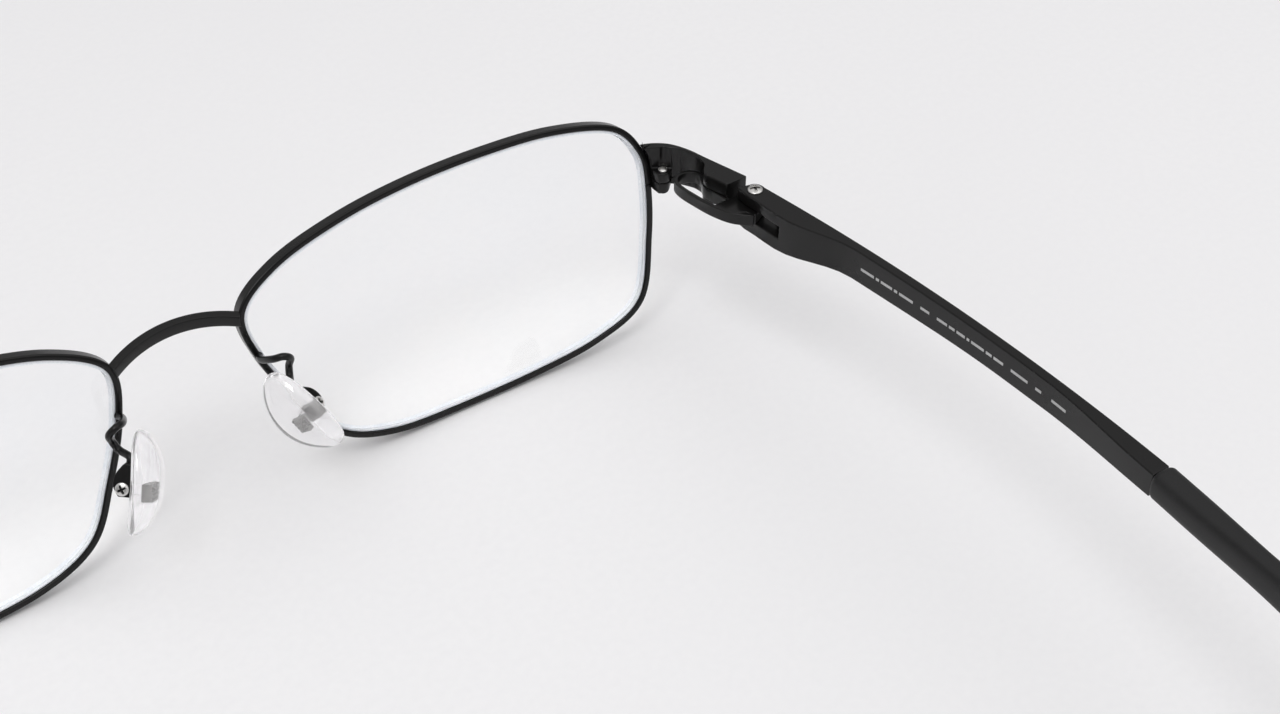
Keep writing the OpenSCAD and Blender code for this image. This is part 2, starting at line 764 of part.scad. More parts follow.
bridge();
rim("left");  // left_rim
lens("left");  // left_lens
endpiece("left");  // left_endpiece
closing_block("left");  // left_closing_block
rim_screw("left");  // left_rim_screw
leaf_spring("left");  // left_leaf_spring
pad_arm("left");  // left_pad_arm
pad_screw("left");  // left_pad_screw
nose_pad("left");  // left_nose_pad
pad_insert("left");  // left_pad_insert
temple("left");  // left_temple
temple_tip("left");  // left_temple_tip
hinge_screw("left");  // left_hinge_screw
rim("right");  // right_rim
lens("right");  // right_lens
endpiece("right");  // right_endpiece
closing_block("right");  // right_closing_block
rim_screw("right");  // right_rim_screw
leaf_spring("right");  // right_leaf_spring
pad_arm("right");  // right_pad_arm
pad_screw("right");  // right_pad_screw
nose_pad("right");  // right_nose_pad
pad_insert("right");  // right_pad_insert
temple("right");  // right_temple
temple_tip("right");  // right_temple_tip
hinge_screw("right");  // right_hinge_screw
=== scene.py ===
"""A pair of full-rim spectacles: black metal front, leaf-spring hinges, clear nose pads.

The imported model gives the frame. Each operator below finishes one piece or one group of like
pieces around it, and the last one sets the stage.
"""

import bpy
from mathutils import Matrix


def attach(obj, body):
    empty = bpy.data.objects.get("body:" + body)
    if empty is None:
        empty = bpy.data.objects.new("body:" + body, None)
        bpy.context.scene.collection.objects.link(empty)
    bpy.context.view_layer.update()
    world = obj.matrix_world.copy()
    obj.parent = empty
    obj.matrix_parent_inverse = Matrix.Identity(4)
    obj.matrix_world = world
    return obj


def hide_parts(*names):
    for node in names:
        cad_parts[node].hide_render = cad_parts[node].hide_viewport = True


bl_info = {
    "name": "Full-rim spectacles",
    "version": (1, 0, 0),
    "blender": (4, 5, 0),
    "location": "View3D > Sidebar > Spectacles",
    "description": "Builds the finished pieces of a pair of full-rim spectacles",
    "category": "Add Mesh",
}

import math
from types import SimpleNamespace

import bmesh
import bpy
from bpy.props import FloatProperty, FloatVectorProperty, IntProperty, PointerProperty
from mathutils import Matrix, Vector

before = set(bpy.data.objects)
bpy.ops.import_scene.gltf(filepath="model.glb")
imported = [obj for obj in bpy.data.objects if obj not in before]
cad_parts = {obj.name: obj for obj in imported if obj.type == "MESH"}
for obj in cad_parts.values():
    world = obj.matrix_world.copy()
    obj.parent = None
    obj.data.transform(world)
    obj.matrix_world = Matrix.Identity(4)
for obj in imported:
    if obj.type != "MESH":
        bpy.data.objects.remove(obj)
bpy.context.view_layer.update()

MM = 0.001
SIDES = {"left": 1, "right": -1}
# The row's origin lies this far behind the front's own zero line
ORIGIN_Y = 72.75
MERGE_DISTANCE = 1e-6
FLAT_ANGLE = math.radians(0.05)
SMOOTH_ANGLE = math.radians(40)

# Lens outline: u runs away from the nose, v runs up; the first point is the rim's split
OUTLINE = [
    (28.4, 4.6), (28, 9.4), (24.8, 13.7), (17, 15.7), (7.5, 16.1), (-3, 15.85),
    (-13, 14.85), (-22.3, 12.75), (-27.9, 8.9), (-27.2, 2.2), (-23.9, -5.4), (-19.7, -12.1),
    (-12.6, -15.4), (-3, -16.35), (8, -16.2), (17.6, -14.8), (24.6, -11.2), (27.4, -2.6),
]
OUTLINE_SCALE = (56.4 / 56.8, 32.4 / 32.5)
OUTLINE_STEPS = 12
RIM_SPLIT = 0.2

# The bridge: half its length, how far it bows forward and up, and where its ends lie
BRIDGE_REACH = 8
BRIDGE_BOW = 2.2
BRIDGE_RISE = 0.9
BRIDGE_END_Y = 0.6
BRIDGE_END_Z = 25
BRIDGE_CORNER = 0.25
BRIDGE_SPANS = 48

# The lens fits in its rim with a small gap; its rings lie at these shares of its outline
LENS_GAP = 0.02
LENS_SHARP_ANGLE = math.radians(25)
LENS_SHARES = [1, 0.97, 0.9, 0.8, 0.68, 0.55, 0.42, 0.3, 0.18, 0.08]

# The front's lean and wrap, and the middle of each lens
LEAN_DEG = 16.5
WRAP_DEG = 1.4
LENS_MIDDLE = (36, -0.45, 16.12)

# The nose pads' pivots and their turn in space
PAD_PIVOT = (11.8, 8.85, 15.6)
PAD_TURN_DEG = (33, -4, -38)
PAD_BACK_X = -1.5
PAD_MID_Z = 0.6
PAD_BOW = 1
PAD_TAPER = 0.1
PAD_SIDES = 64
# The insert's plate ends and its clear neck begins here
INSERT_NECK_X = -1.9
# The pad arm: a wire in the front's frame that ends in a box in the pad's frame
PAD_WIRE_D = 0.9
# The wire's corner radius by its thickness; a half would be fully round
PAD_WIRE_ROUND = 0.49
PAD_WIRE = [
    (8.95, 1.6, 19.5), (8.75, 2.9, 19.9), (9.4, 5, 21.3), (10.4, 5.9, 21.9), (11.3, 5.7, 21),
    (11.1, 5.3, 19.6), (10.7, 6, 18.5),
]
PAD_WIRE_END = [(-0.4, 0, 3.5), (-0.4, 0, 2.2)]
PAD_BOX_HALF = 1.1
PAD_BOX_BACK = [(-0.95, -0.95), (-0.95, 2.9), (-0.2, 3)]
PAD_BOX_FRONT = [
    (0.1, 2.8), (0.75, 1.9), (1.05, 0.9), (1.05, 0.2), (0.8, -0.4), (0.45, -0.95),
]
PAD_CAVITY = {"Size": (2.7, 1.5, 3.5), "Centre": (-0.6, 0, -0.25)}
PAD_PROFILE = [
    (0, 0.35), (0, 0.8), (0.08, 0.92), (0.25, 1), (0.5, 0.97), (0.72, 0.87), (0.88, 0.7),
    (0.97, 0.45), (1, 0.2),
]

# The metal temple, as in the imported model: an arc seen from above, and a slow rise to the rear
HINGE = (70.6, 16.9)
TEMPLE_TOP_Z = 27.2
BOW_X = 78.4
BOW_Y = 74
BOW_R = 256
METAL_END_Y = 80
TEMPLE_LENGTH = 141
TEMPLE_RISE = 2700
TEMPLE_THICKNESS = 2.8
TEMPLE_HEIGHT = 5.7
# How the thickness and the height change along the temple: (from y, to y, change)
THICKNESS_CHANGES = [(17, 23, 0.4), (23, 33, -1.9), (62, METAL_END_Y, 1.1)]
HEIGHT_CHANGES = [(20.5, 31.5, -0.95), (34, 56, -0.45), (60, METAL_END_Y, -0.95)]

# The plastic tip: its gap to the metal, and the distance from the hinge to its bend's corner
TIP_GAP = 0.2
TIP_CORNER = 97
TIP_BEND_R = 45
TIP_RISE_DEG = 2.7
TIP_INWARD_DEG = 3.6
TIP_ABOVE_CORE = 0.25
# Distances from the tip's two ends at which its rings lie close together
TIP_END_STEPS = [0, 0.04, 0.1, 0.2, 0.35, 0.5, 0.8, 1.3, 2]
# Between them the rings are evenly spaced, from this far inside each end
TIP_INNER = 3
TIP_SPANS = 44
# A superellipse's power: 1 is an oval, less is squarer
TIP_SQUARE = 0.72
TIP_SHARP_ANGLE = math.radians(50)
# The section's width and height change along the tip: (from, to, share)
TIP_WIDTH_CHANGE = (3, 16, -0.22)
TIP_HEIGHT_CHANGE = (13, 30, 0.28)
# How the section is drawn in at the two ends: shares, and lengths in millimetres
TIP_MOUTH = {"Narrowing": 0.06, "Widens": (2, 14), "Rounding": 0.12, "Round length": 0.5}
TIP_END = {"Taper": 0.6, "Taper length": 3, "Rounding": 0.7, "Round length": 0.9}

# The row of plain dashes inside the right temple: where it starts, and the dashes' lengths
DASH_START_Y = 34
DASH_HEIGHT = 0.4
DASH_THICKNESS = 0.03
DASH_GAP = 0.3
DASH_GROUP_GAP = 0.9
DASH_GROUPS = [
    [2.1, 0.5, 1.8, 0.5, 2.2],
    [1.4],
    [1.6, 0.9, 1.3, 0.4, 2, 0.9, 1.5],
    [2.6],
    [0.9],
    [3.2],
]

# The screws' places and sizes, and the numbers of sides of the heads and the shanks
HEAD_SIDES = 48
SHANK_SIDES = 32
# The dome's radius by the head's, and how far a shank reaches into its head
DOME_SHARE = 2
SHANK_REACH = 0.05
# Faces get painted recess shade where they lie this high above the shank, this near the axis and
# this far below the dome
RECESS_START = 0.01
RECESS_REACH = 0.9
RECESS_DEPTH = 0.06
BARREL = (65.6, 3.9)
BARREL_TOP_Z = 24.1
SLOT_TURN_DEG = 25
SCREW_SIZES = (
    "Head Radius", "Head Height", "Shank Radius", "Shank Length",
    "Slot Length", "Slot Width", "Slot Depth", "Cross Length",
)
RIM_SCREW = (0.62, 0.4, 0.4, 2.7, 1.4, 0.24, 0.3, 0.24)
PAD_SCREW = (0.8, 0.4, 0.45, 2.1, 1.05, 0.26, 0.45, 1.05)
HINGE_SCREW = (0.95, 0.45, 0.6, 4.9, 1.3, 0.32, 0.6, 1.3)

# How wide the edges are rounded
SCREW_EDGE = 0.03
PAD_BOX_EDGE = 0.08
TEMPLE_EDGE = 0.2
INSERT_EDGE = 0.05
# The front's other pieces by CAD node: name, edge width, slot
FRONT_PIECES = {
    "endpiece": ("end_block", 0.16, "frame_black"),
    "closing_block": ("rim_lock_block", 0.12, "frame_black"),
    "leaf_spring": ("hinge_spring", 0.1, "spring_black"),
}

# The room: the camera's place and its directions to the right and up, in metres
CAMERA_PLACE = (0.04236, 0.08687, 0.17289)
CAMERA_RIGHT = (-0.83058, 0.55690, 0)
CAMERA_UP = (-0.38605, -0.57578, 0.72072)
CAMERA_LENS = 52.31
CAMERA_CLIP = (0.005, 20)
FLOOR_HALF = 3
FLOOR_Z = -2e-5
# Lamps: the direction from their target, their distance, their size, their power
LAMP_TARGET = (0, 0, 0.01)
LAMPS = {
    "Key": ((0.33, 0.23, 1.0), 1.0, 0.4, 2.7),
    "Fill": ((-0.7, 0.5, 1.0), 0.9, 1.0, 1.6),
}
# The sky's light by its height, and how light it looks to the camera and through glass
SKY_COLOUR = (1, 0.995, 1, 1)
SKY_RANGE = {"From_Min": -0.1, "From_Max": 0.9, "To_Min": 0.08, "To_Max": 0.85}
BACKDROP_STRENGTH = 0.86


# --- Small geometry helpers ---


def spline_point(p0, p1, p2, p3, t):
    """A point on a Catmull-Rom curve between p1 and p2."""
    return 0.5 * (
        2 * p1 + (p2 - p0) * t + (2 * p0 - 5 * p1 + 4 * p2 - p3) * t * t
        + (3 * p1 - p0 - 3 * p2 + p3) * t * t * t
    )


def closed_curve(points, steps):
    """A closed smooth curve through points."""
    points = [Vector(p) for p in points]
    n = len(points)
    return [
        spline_point(points[i - 1], points[i], points[(i + 1) % n], points[(i + 2) % n], k / steps)
        for i in range(n)
        for k in range(steps)
    ]


def open_curve(points, steps):
    """An open smooth curve through points, end points included."""
    points = [Vector(p) for p in points]
    run = [2 * points[0] - points[1], *points, 2 * points[-1] - points[-2]]
    curve = [
        spline_point(*run[i : i + 4], k / steps)
        for i in range(len(points) - 1)
        for k in range(steps)
    ]
    return [*curve, points[-1]]


def ease(start, end, value):
    """0 before start, 1 after end and a smooth step between."""
    share = min(max((value - start) / (end - start), 0), 1)
    return (1 - math.cos(math.pi * share)) / 2


def placed(point, side):
    """A point of the left side in millimetres, put in the row frame in metres."""
    return Vector((SIDES[side] * point[0], point[1] - ORIGIN_Y, point[2])) * MM


def lens_matrix():
    """From the lens's own frame to the front, in millimetres."""
    return (
        Matrix.Translation((0, 0, LENS_MIDDLE[2]))
        @ Matrix.Rotation(math.radians(LEAN_DEG), 4, "X")
        @ Matrix.Translation((LENS_MIDDLE[0], LENS_MIDDLE[1], 0))
        @ Matrix.Rotation(math.radians(WRAP_DEG), 4, "Z")
    )


def pad_matrix():
    """From the nose pad's own frame to the front, in millimetres."""
    turns = [
        Matrix.Rotation(math.radians(angle), 4, axis)
        for angle, axis in zip(PAD_TURN_DEG, "XYZ")
    ]
    return Matrix.Translation(PAD_PIVOT) @ turns[2] @ turns[1] @ turns[0]


def outline_curve():
    """The rim's centreline in the plane of the lens, with its outward directions."""
    points = closed_curve(
        [(u * OUTLINE_SCALE[0], v * OUTLINE_SCALE[1]) for u, v in OUTLINE], OUTLINE_STEPS
    )
    n = len(points)
    outward = []
    for i in range(n):
        along = points[(i + 1) % n] - points[i - 1]
        outward.append(Vector((along[1], -along[0])).normalized())
    return points, outward


def sag(point, radius):
    """How far a sphere's surface lies behind its apex at a point."""
    return radius - math.sqrt(radius * radius - point.length_squared)


def path_frames(path):
    """Directions of a path with sideways and upward vectors that don't twist."""
    ahead = [
        (path[min(i + 1, len(path) - 1)] - path[max(i - 1, 0)]).normalized()
        for i in range(len(path))
    ]
    side = ahead[0].cross(Vector((0, 0, 1))).normalized()
    frames = []
    for direction in ahead:
        side = (side - side.dot(direction) * direction).normalized()
        frames.append((side, side.cross(direction)))
    return frames


def temple_outer_x(y):
    """The temple's outer face, which is an arc seen from above."""
    return BOW_X - BOW_R + math.sqrt(BOW_R**2 - (y - BOW_Y) ** 2)


def temple_thickness(y):
    """How thick the metal temple is."""
    return TEMPLE_THICKNESS + sum(change_by(y, *change) for change in THICKNESS_CHANGES)


def temple_top(y):
    """The height of the metal temple's upper edge."""
    return TEMPLE_TOP_Z + (y - HINGE[1]) ** 2 / TEMPLE_RISE


def temple_height(y):
    """How tall the metal temple is."""
    return TEMPLE_HEIGHT + sum(change_by(y, *change) for change in HEIGHT_CHANGES)


def change_by(s, start, end, change):
    """A change that comes in smoothly between two places."""
    return change * ease(start, end, s)


def tip_cap(s, total):
    """How far the tip's section is drawn in near its mouth and its far end."""
    mouth = TIP_MOUTH["Narrowing"] * (1 - ease(*TIP_MOUTH["Widens"], s))
    mouth += TIP_MOUTH["Rounding"] * (1 - min(s / TIP_MOUTH["Round length"], 1)) ** 2
    end = TIP_END["Taper"] * ease(total - TIP_END["Taper length"], total, s) ** 2
    near = 1 - min((total - s) / TIP_END["Round length"], 1)
    blunt = 1 - TIP_END["Rounding"] * (1 - math.sqrt(1 - near**2))
    return (1 - mouth - end) * blunt


def inner_face(y, rise):
    """A point on the temple's inner face, some way above the middle of its height."""
    x = temple_outer_x(y) - temple_thickness(y)
    return Vector((x, y, temple_top(y) - temple_height(y) / 2 + rise))


# --- Mesh helpers ---


def linked_object(name, data):
    """A new object in the scene."""
    obj = bpy.data.objects.new(name, data)
    bpy.context.scene.collection.objects.link(obj)
    return obj


def new_object(name, vertices, faces, edges=()):
    """A new mesh object at the origin; its place is in its vertices."""
    mesh = bpy.data.meshes.new(name)
    mesh.from_pydata([tuple(v) for v in vertices], list(edges), faces)
    return linked_object(name, mesh)


def face_outwards(obj):
    """Merges doubles and turns every face outwards."""
    mesh = bmesh.new()
    mesh.from_mesh(obj.data)
    bmesh.ops.remove_doubles(mesh, verts=mesh.verts, dist=MERGE_DISTANCE)
    bmesh.ops.recalc_face_normals(mesh, faces=mesh.faces)
    mesh.to_mesh(obj.data)
    mesh.free()


def settle(obj):
    """Puts an object's modifiers into its mesh, and removes them."""
    graph = bpy.context.evaluated_depsgraph_get()
    mesh = bpy.data.meshes.new_from_object(obj.evaluated_get(graph), depsgraph=graph)
    obj.modifiers.clear()
    old = obj.data
    obj.data = mesh
    mesh.name = obj.name
    bpy.data.meshes.remove(old)


def smooth(obj, angle=SMOOTH_ANGLE):
    """Smooth shading that keeps flat faces flat and edges past an angle sharp."""
    obj.data.shade_smooth()
    obj.data.set_sharp_from_angle(angle=angle)
    weighted = obj.modifiers.new("Even normals", "WEIGHTED_NORMAL")
    weighted.keep_sharp = True
    settle(obj)


def set_material(obj, material):
    """Gives an object one material."""
    obj.data.materials.clear()
    obj.data.materials.append(material)


def mount(obj, body, slot, *nodes):
    """Rides a finished piece on its body, in place of CAD nodes."""
    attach(obj, body)
    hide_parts(*nodes)


def loft(rings):
    """Vertices and faces of a skin over rings of points, with fans at the two ends."""
    count = len(rings[0])
    vertices = [p for ring in rings for p in ring]
    last = (len(rings) - 1) * count
    faces = []
    for here in range(0, last, count):
        there = here + count
        for k in range(count):
            after = (k + 1) % count
            faces.append((here + k, here + after, there + after, there + k))
    for ring, start in ((rings[0], 0), (rings[-1], last)):
        vertices.append(sum(ring, Vector((0, 0, 0))) / count)
        middle = len(vertices) - 1
        faces += [(start + k, start + (k + 1) % count, middle) for k in range(count)]
    return vertices, faces


def lofted(name, rings, material):
    """An object from a loft, with its faces outwards."""
    obj = new_object(name, *loft(rings))
    set_material(obj, material)
    face_outwards(obj)
    return obj


def round_edges(obj, width, segments):
    """Rounds the sharp edges of a mesh by a width in millimetres."""
    bevel = obj.modifiers.new("Rounded edges", "BEVEL")
    bevel.width = width * MM
    bevel.segments = segments
    bevel.limit_method = "ANGLE"
    bevel.angle_limit = SMOOTH_ANGLE
    bevel.use_clamp_overlap = False
    settle(obj)


def rounded_copy(side, node, name, width, material, segments=3):
    """A merged copy of one side's CAD node with its sharp edges rounded."""
    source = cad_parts[f"{side}_{node}"].data
    faces = [tuple(p.vertices) for p in source.polygons]
    obj = new_object(f"{side}_{name}", [v.co for v in source.vertices], faces)
    mesh = bmesh.new()
    mesh.from_mesh(obj.data)
    bmesh.ops.remove_doubles(mesh, verts=mesh.verts, dist=MERGE_DISTANCE)
    bmesh.ops.dissolve_limit(
        mesh, angle_limit=FLAT_ANGLE, verts=mesh.verts, edges=mesh.edges
    )
    mesh.to_mesh(obj.data)
    mesh.free()
    set_material(obj, material)
    round_edges(obj, width, segments)
    smooth(obj)
    return obj


# --- Geometry Nodes ---


def built_once(name):
    """Names the node group that a function builds, and finds it again on later calls."""

    def wrap(build):
        return lambda: bpy.data.node_groups.get(name) or build(name)

    return wrap


def new_tree(name, inputs):
    """A geometry node tree with named inputs: (name, socket type, default)."""
    tree = bpy.data.node_groups.new(name, "GeometryNodeTree")
    tree.interface.new_socket("Geometry", in_out="INPUT", socket_type="NodeSocketGeometry")
    for label, kind, default in inputs:
        kind = f"NodeSocket{kind}"
        socket = tree.interface.new_socket(label, in_out="INPUT", socket_type=kind)
        if default is not None:
            socket.default_value = default
    tree.interface.new_socket("Geometry", in_out="OUTPUT", socket_type="NodeSocketGeometry")
    return tree, tree.nodes.new("NodeGroupInput").outputs, tree.nodes.new("NodeGroupOutput")


def plug(tree, socket, value):
    """Links an input to another node's output, or sets it to a plain value."""
    if isinstance(value, bpy.types.NodeSocket):
        tree.links.new(value, socket)
    else:
        socket.default_value = value


def add_node(tree, kind, settings=None, **values):
    """Adds a node, sets its options and its unlinked or linked inputs by name."""
    node = tree.nodes.new(kind)
    for option, value in (settings or {}).items():
        setattr(node, option, value)
    for label, value in values.items():
        plug(tree, node.inputs[label.replace("_", " ")], value)
    return node


def attribute_node(tree, name, kind):
    """The value of a mesh's named attribute."""
    kinds = {"data_type": kind}
    return add_node(tree, "GeometryNodeInputNamedAttribute", kinds, Name=name).outputs[0]


def set_attribute(obj, name, kind, field, values):
    """Gives each point of a mesh a named value."""
    obj.data.attributes.new(name, kind, "POINT").data.foreach_set(field, values)


def end_tree(tree, geometry, material, output):
    """Closes a tree with Realize Instances and Set Material."""
    real = add_node(tree, "GeometryNodeRealizeInstances", Geometry=geometry)
    coat = add_node(
        tree, "GeometryNodeSetMaterial", Geometry=real.outputs[0], Material=material
    )
    tree.links.new(coat.outputs[0], output.inputs[0])


def run_tree(obj, tree, values):
    """Runs a tree on an object with values by input name, and keeps the plain mesh."""
    modifier = obj.modifiers.new(tree.name, "NODES")
    modifier.node_group = tree
    for item in tree.interface.items_tree:
        if item.in_out == "INPUT" and item.name in values:
            modifier[item.identifier] = values[item.name]
    settle(obj)


@built_once("Swept bar")
def bar_tree(name):
    """A bar of rounded rectangular section along a line whose points know their side."""
    tree, given, output = new_tree(
        name,
        [
            ("Width", "Float", 1 * MM), ("Depth", "Float", 1 * MM), ("Corner", "Float", 0.2 * MM),
            ("Corner steps", "Int", 4), ("Material", "Material", None),
        ],
    )
    line = add_node(tree, "GeometryNodeMeshToCurve", Mesh=given["Geometry"])
    side = attribute_node(tree, "bar_side", "FLOAT_VECTOR")
    turned = add_node(
        tree, "GeometryNodeSetCurveNormal", {"mode": "FREE"}, Curve=line.outputs[0], Normal=side
    )
    section = add_node(
        tree, "GeometryNodeCurvePrimitiveQuadrilateral", Width=given["Width"], Height=given["Depth"]
    )
    filleted = add_node(
        tree, "GeometryNodeFilletCurve", {"mode": "POLY"}, Curve=section.outputs[0],
        Count=given["Corner steps"], Radius=given["Corner"], Limit_Radius=True,
    )
    swept = add_node(
        tree, "GeometryNodeCurveToMesh", Curve=turned.outputs[0], Profile_Curve=filleted.outputs[0],
        Fill_Caps=True,
    )
    end_tree(tree, swept.outputs[0], given["Material"], output)
    return tree


def swept_bar(name, points, sides, width, depth, corner, material, corner_steps=4):
    """A swept bar; sides are the directions that its width runs in."""
    edges = [(i, i + 1) for i in range(len(points) - 1)]
    obj = new_object(name, points, [], edges)
    set_attribute(obj, "bar_side", "FLOAT_VECTOR", "vector", [x for side in sides for x in side])
    values = {
        "Width": width * MM, "Depth": depth * MM, "Corner": corner * MM,
        "Corner steps": corner_steps, "Material": material,
    }
    run_tree(obj, bar_tree(), values)
    face_outwards(obj)
    smooth(obj)
    return obj


def math_node(tree, operation, *values, kind="ShaderNodeMath"):
    """A maths node's result; each value is a number or a socket."""
    node = add_node(tree, kind, {"operation": operation})
    for socket, value in zip(node.inputs, values):
        plug(tree, socket, value)
    return node.outputs[0]


def vector_node(tree, x, y, z):
    """A vector from three numbers or sockets."""
    return add_node(tree, "ShaderNodeCombineXYZ", X=x, Y=y, Z=z).outputs[0]


def moved(tree, geometry, **values):
    """A geometry moved, turned or scaled."""
    return add_node(tree, "GeometryNodeTransform", Geometry=geometry, **values).outputs[0]


def lifted(tree, mesh, height):
    """A primitive's mesh moved up."""
    return moved(tree, mesh.outputs["Mesh"], Translation=vector_node(tree, 0.0, 0.0, height))


def boolean_node(tree, operation, meshes, base=None):
    """A boolean's result; a difference also needs the mesh that it cuts."""
    node = tree.nodes.new("GeometryNodeMeshBoolean")
    node.operation = operation
    node.solver = "EXACT"
    if base is not None:
        tree.links.new(base, node.inputs["Mesh 1"])
    for mesh in meshes:
        tree.links.new(mesh, node.inputs["Mesh 2"])
    return node.outputs["Mesh"]


@built_once("Screws")
def screw_tree(name):
    """Screws with a domed head and a slot or a cross, one on each point of a mesh."""
    tree, given, output = new_tree(
        name,
        [(label, "Float", 1 * MM) for label in SCREW_SIZES]
        + [("Rotation", "Rotation", None), ("Material", "Material", None)],
    )
    disc = add_node(
        tree, "GeometryNodeMeshCylinder", Vertices=HEAD_SIDES, Radius=given["Head Radius"],
        Depth=given["Head Height"],
    )
    disc = lifted(tree, disc, math_node(tree, "MULTIPLY", given["Head Height"], 0.5))
    dome_radius = math_node(tree, "MULTIPLY", given["Head Radius"], DOME_SHARE)
    dome_drop = math_node(tree, "SUBTRACT", given["Head Height"], dome_radius)
    dome = add_node(
        tree, "GeometryNodeMeshUVSphere", Segments=2 * HEAD_SIDES, Rings=HEAD_SIDES,
        Radius=dome_radius,
    )
    head = boolean_node(tree, "INTERSECT", [disc, lifted(tree, dome, dome_drop)])
    cutters = []
    depth = math_node(tree, "MULTIPLY", given["Slot Depth"], 2.0)
    for long_x, long_y in (("Slot Length", "Slot Width"), ("Slot Width", "Cross Length")):
        size = vector_node(tree, given[long_x], given[long_y], depth)
        box = add_node(tree, "GeometryNodeMeshCube", Size=size)
        cutters.append(lifted(tree, box, given["Head Height"]))
    length = math_node(tree, "ADD", given["Shank Length"], SHANK_REACH * MM)
    shank = add_node(
        tree, "GeometryNodeMeshCylinder", Vertices=SHANK_SIDES, Radius=given["Shank Radius"],
        Depth=length,
    )
    sunk = math_node(tree, "MULTIPLY_ADD", given["Shank Length"], -0.5, SHANK_REACH / 2 * MM)
    body = boolean_node(tree, "UNION", [head, lifted(tree, shank, sunk)])
    cut = boolean_node(tree, "DIFFERENCE", cutters, base=body)
    placed_screws = add_node(
        tree, "GeometryNodeInstanceOnPoints", Points=given["Geometry"], Instance=cut,
        Rotation=given["Rotation"],
    )
    end_tree(tree, placed_screws.outputs[0], given["Material"], output)
    return tree


def screw(name, place, axis, turn, sizes):
    """One screw whose head's underside is at a place; sizes are in millimetres."""
    obj = new_object(name, [place], [])
    rotation = axis.to_track_quat("Z", "Y") @ Matrix.Rotation(turn, 4, "Z").to_quaternion()
    values = {label: size * MM for label, size in zip(SCREW_SIZES, sizes)}
    values["Rotation"] = rotation.to_euler()
    values["Material"] = material_for("Bright screw steel")
    run_tree(obj, screw_tree(), values)
    face_outwards(obj)
    round_edges(obj, SCREW_EDGE, 2)
    # Paints shade into the driver's recess as darker steel
    paint_recess_shade(obj, place, axis, *sizes[:2])
    smooth(obj)
    return obj


def paint_recess_shade(obj, place, axis, head_radius, head_height):
    """Paints shade as darker steel on the faces of a driver's recess, those that lie below the
    head's dome.
    """
    obj.data.materials.append(material_for("Dull recess"))
    dome = DOME_SHARE * head_radius
    for face in obj.data.polygons:
        arm = (face.center - place) / MM
        height = arm.dot(axis)
        radius = (arm - height * axis).length
        if height > RECESS_START and radius < RECESS_REACH * head_radius:
            surface_height = head_height - dome + math.sqrt(dome**2 - radius**2)
            if surface_height - height > RECESS_DEPTH:
                face.material_index = 1


@built_once("Hollow")
def hollow_tree(name):
    """A mesh with a box cut out of it."""
    tree, given, output = new_tree(
        name,
        [
            ("Size", "Vector", (1 * MM, 1 * MM, 1 * MM)), ("Centre", "Vector", (0, 0, 0)),
            ("Material", "Material", None),
        ],
    )
    box = add_node(tree, "GeometryNodeMeshCube", Size=given["Size"])
    box = moved(tree, box.outputs["Mesh"], Translation=given["Centre"])
    cut = boolean_node(tree, "DIFFERENCE", [box], base=given["Geometry"])
    end_tree(tree, cut, given["Material"], output)
    return tree


def joined(name, parts, material):
    """One mesh from several objects, which are removed."""
    mesh = bmesh.new()
    for part in parts:
        mesh.from_mesh(part.data)
        bpy.data.objects.remove(part)
    obj = new_object(name, [], [])
    mesh.to_mesh(obj.data)
    mesh.free()
    set_material(obj, material)
    smooth(obj)
    return obj


def pad_arm(side):
    """The bent wire that holds a nose pad, with the box round the pad's eye."""
    paint = material_for("Satin black paint")
    pad = pad_matrix()
    line = [Vector(p) for p in PAD_WIRE] + [pad @ Vector(p) for p in PAD_WIRE_END]
    path = [placed(p, side) for p in open_curve(line, 6)]
    sides = [across for across, up in path_frames(path)]
    corner = PAD_WIRE_ROUND * PAD_WIRE_D
    wire = swept_bar(f"{side}_wire", path, sides, PAD_WIRE_D, PAD_WIRE_D, corner, paint, 8)
    outline = [Vector(p) for p in PAD_BOX_BACK] + open_curve(PAD_BOX_FRONT, 3)
    rings = [
        [Vector((p[0], y, p[1])) * MM for p in outline] for y in (-PAD_BOX_HALF, PAD_BOX_HALF)
    ]
    box = new_object(f"{side}_box", *loft(rings))
    face_outwards(box)
    values = {label: [v * MM for v in size] for label, size in PAD_CAVITY.items()}
    run_tree(box, hollow_tree(), {**values, "Material": paint})
    for vertex in box.data.vertices:
        vertex.co = placed(pad @ (vertex.co / MM), side)
    face_outwards(box)
    round_edges(box, PAD_BOX_EDGE, 3)
    return joined(f"{side}_pad_wire", [wire, box], paint)


@built_once("Printed dashes")
def print_tree(name):
    """Small flat bars on points that know their length and their turn."""
    tree, given, output = new_tree(
        name,
        [
            ("Height", "Float", 0.5 * MM), ("Thickness", "Float", 0.02 * MM),
            ("Material", "Material", None),
        ],
    )
    length = attribute_node(tree, "bar_length", "FLOAT")
    turn = attribute_node(tree, "bar_turn", "FLOAT_VECTOR")
    box = add_node(tree, "GeometryNodeMeshCube")
    box.inputs["Size"].default_value = (1, 1, 1)
    size = vector_node(
        tree, given["Thickness"], length, given["Height"]
    )
    bars = add_node(
        tree, "GeometryNodeInstanceOnPoints", Points=given["Geometry"],
        Instance=box.outputs["Mesh"], Rotation=turn, Scale=size,
    )
    end_tree(tree, bars.outputs[0], given["Material"], output)
    return tree


# --- Shader groups and materials ---


def shader_group(name, inputs):
    """A shader node group with named inputs, and a colour, a roughness and a height."""
    tree = bpy.data.node_groups.new(name, "ShaderNodeTree")
    for label, kind, default in inputs:
        kind = f"NodeSocket{kind}"
        socket = tree.interface.new_socket(label, in_out="INPUT", socket_type=kind)
        socket.default_value = default
    for label, kind in (("Color", "Color"), ("Roughness", "Float"), ("Height", "Float")):
        tree.interface.new_socket(label, in_out="OUTPUT", socket_type=f"NodeSocket{kind}")
    return tree, tree.nodes.new("NodeGroupInput").outputs, tree.nodes.new("NodeGroupOutput")


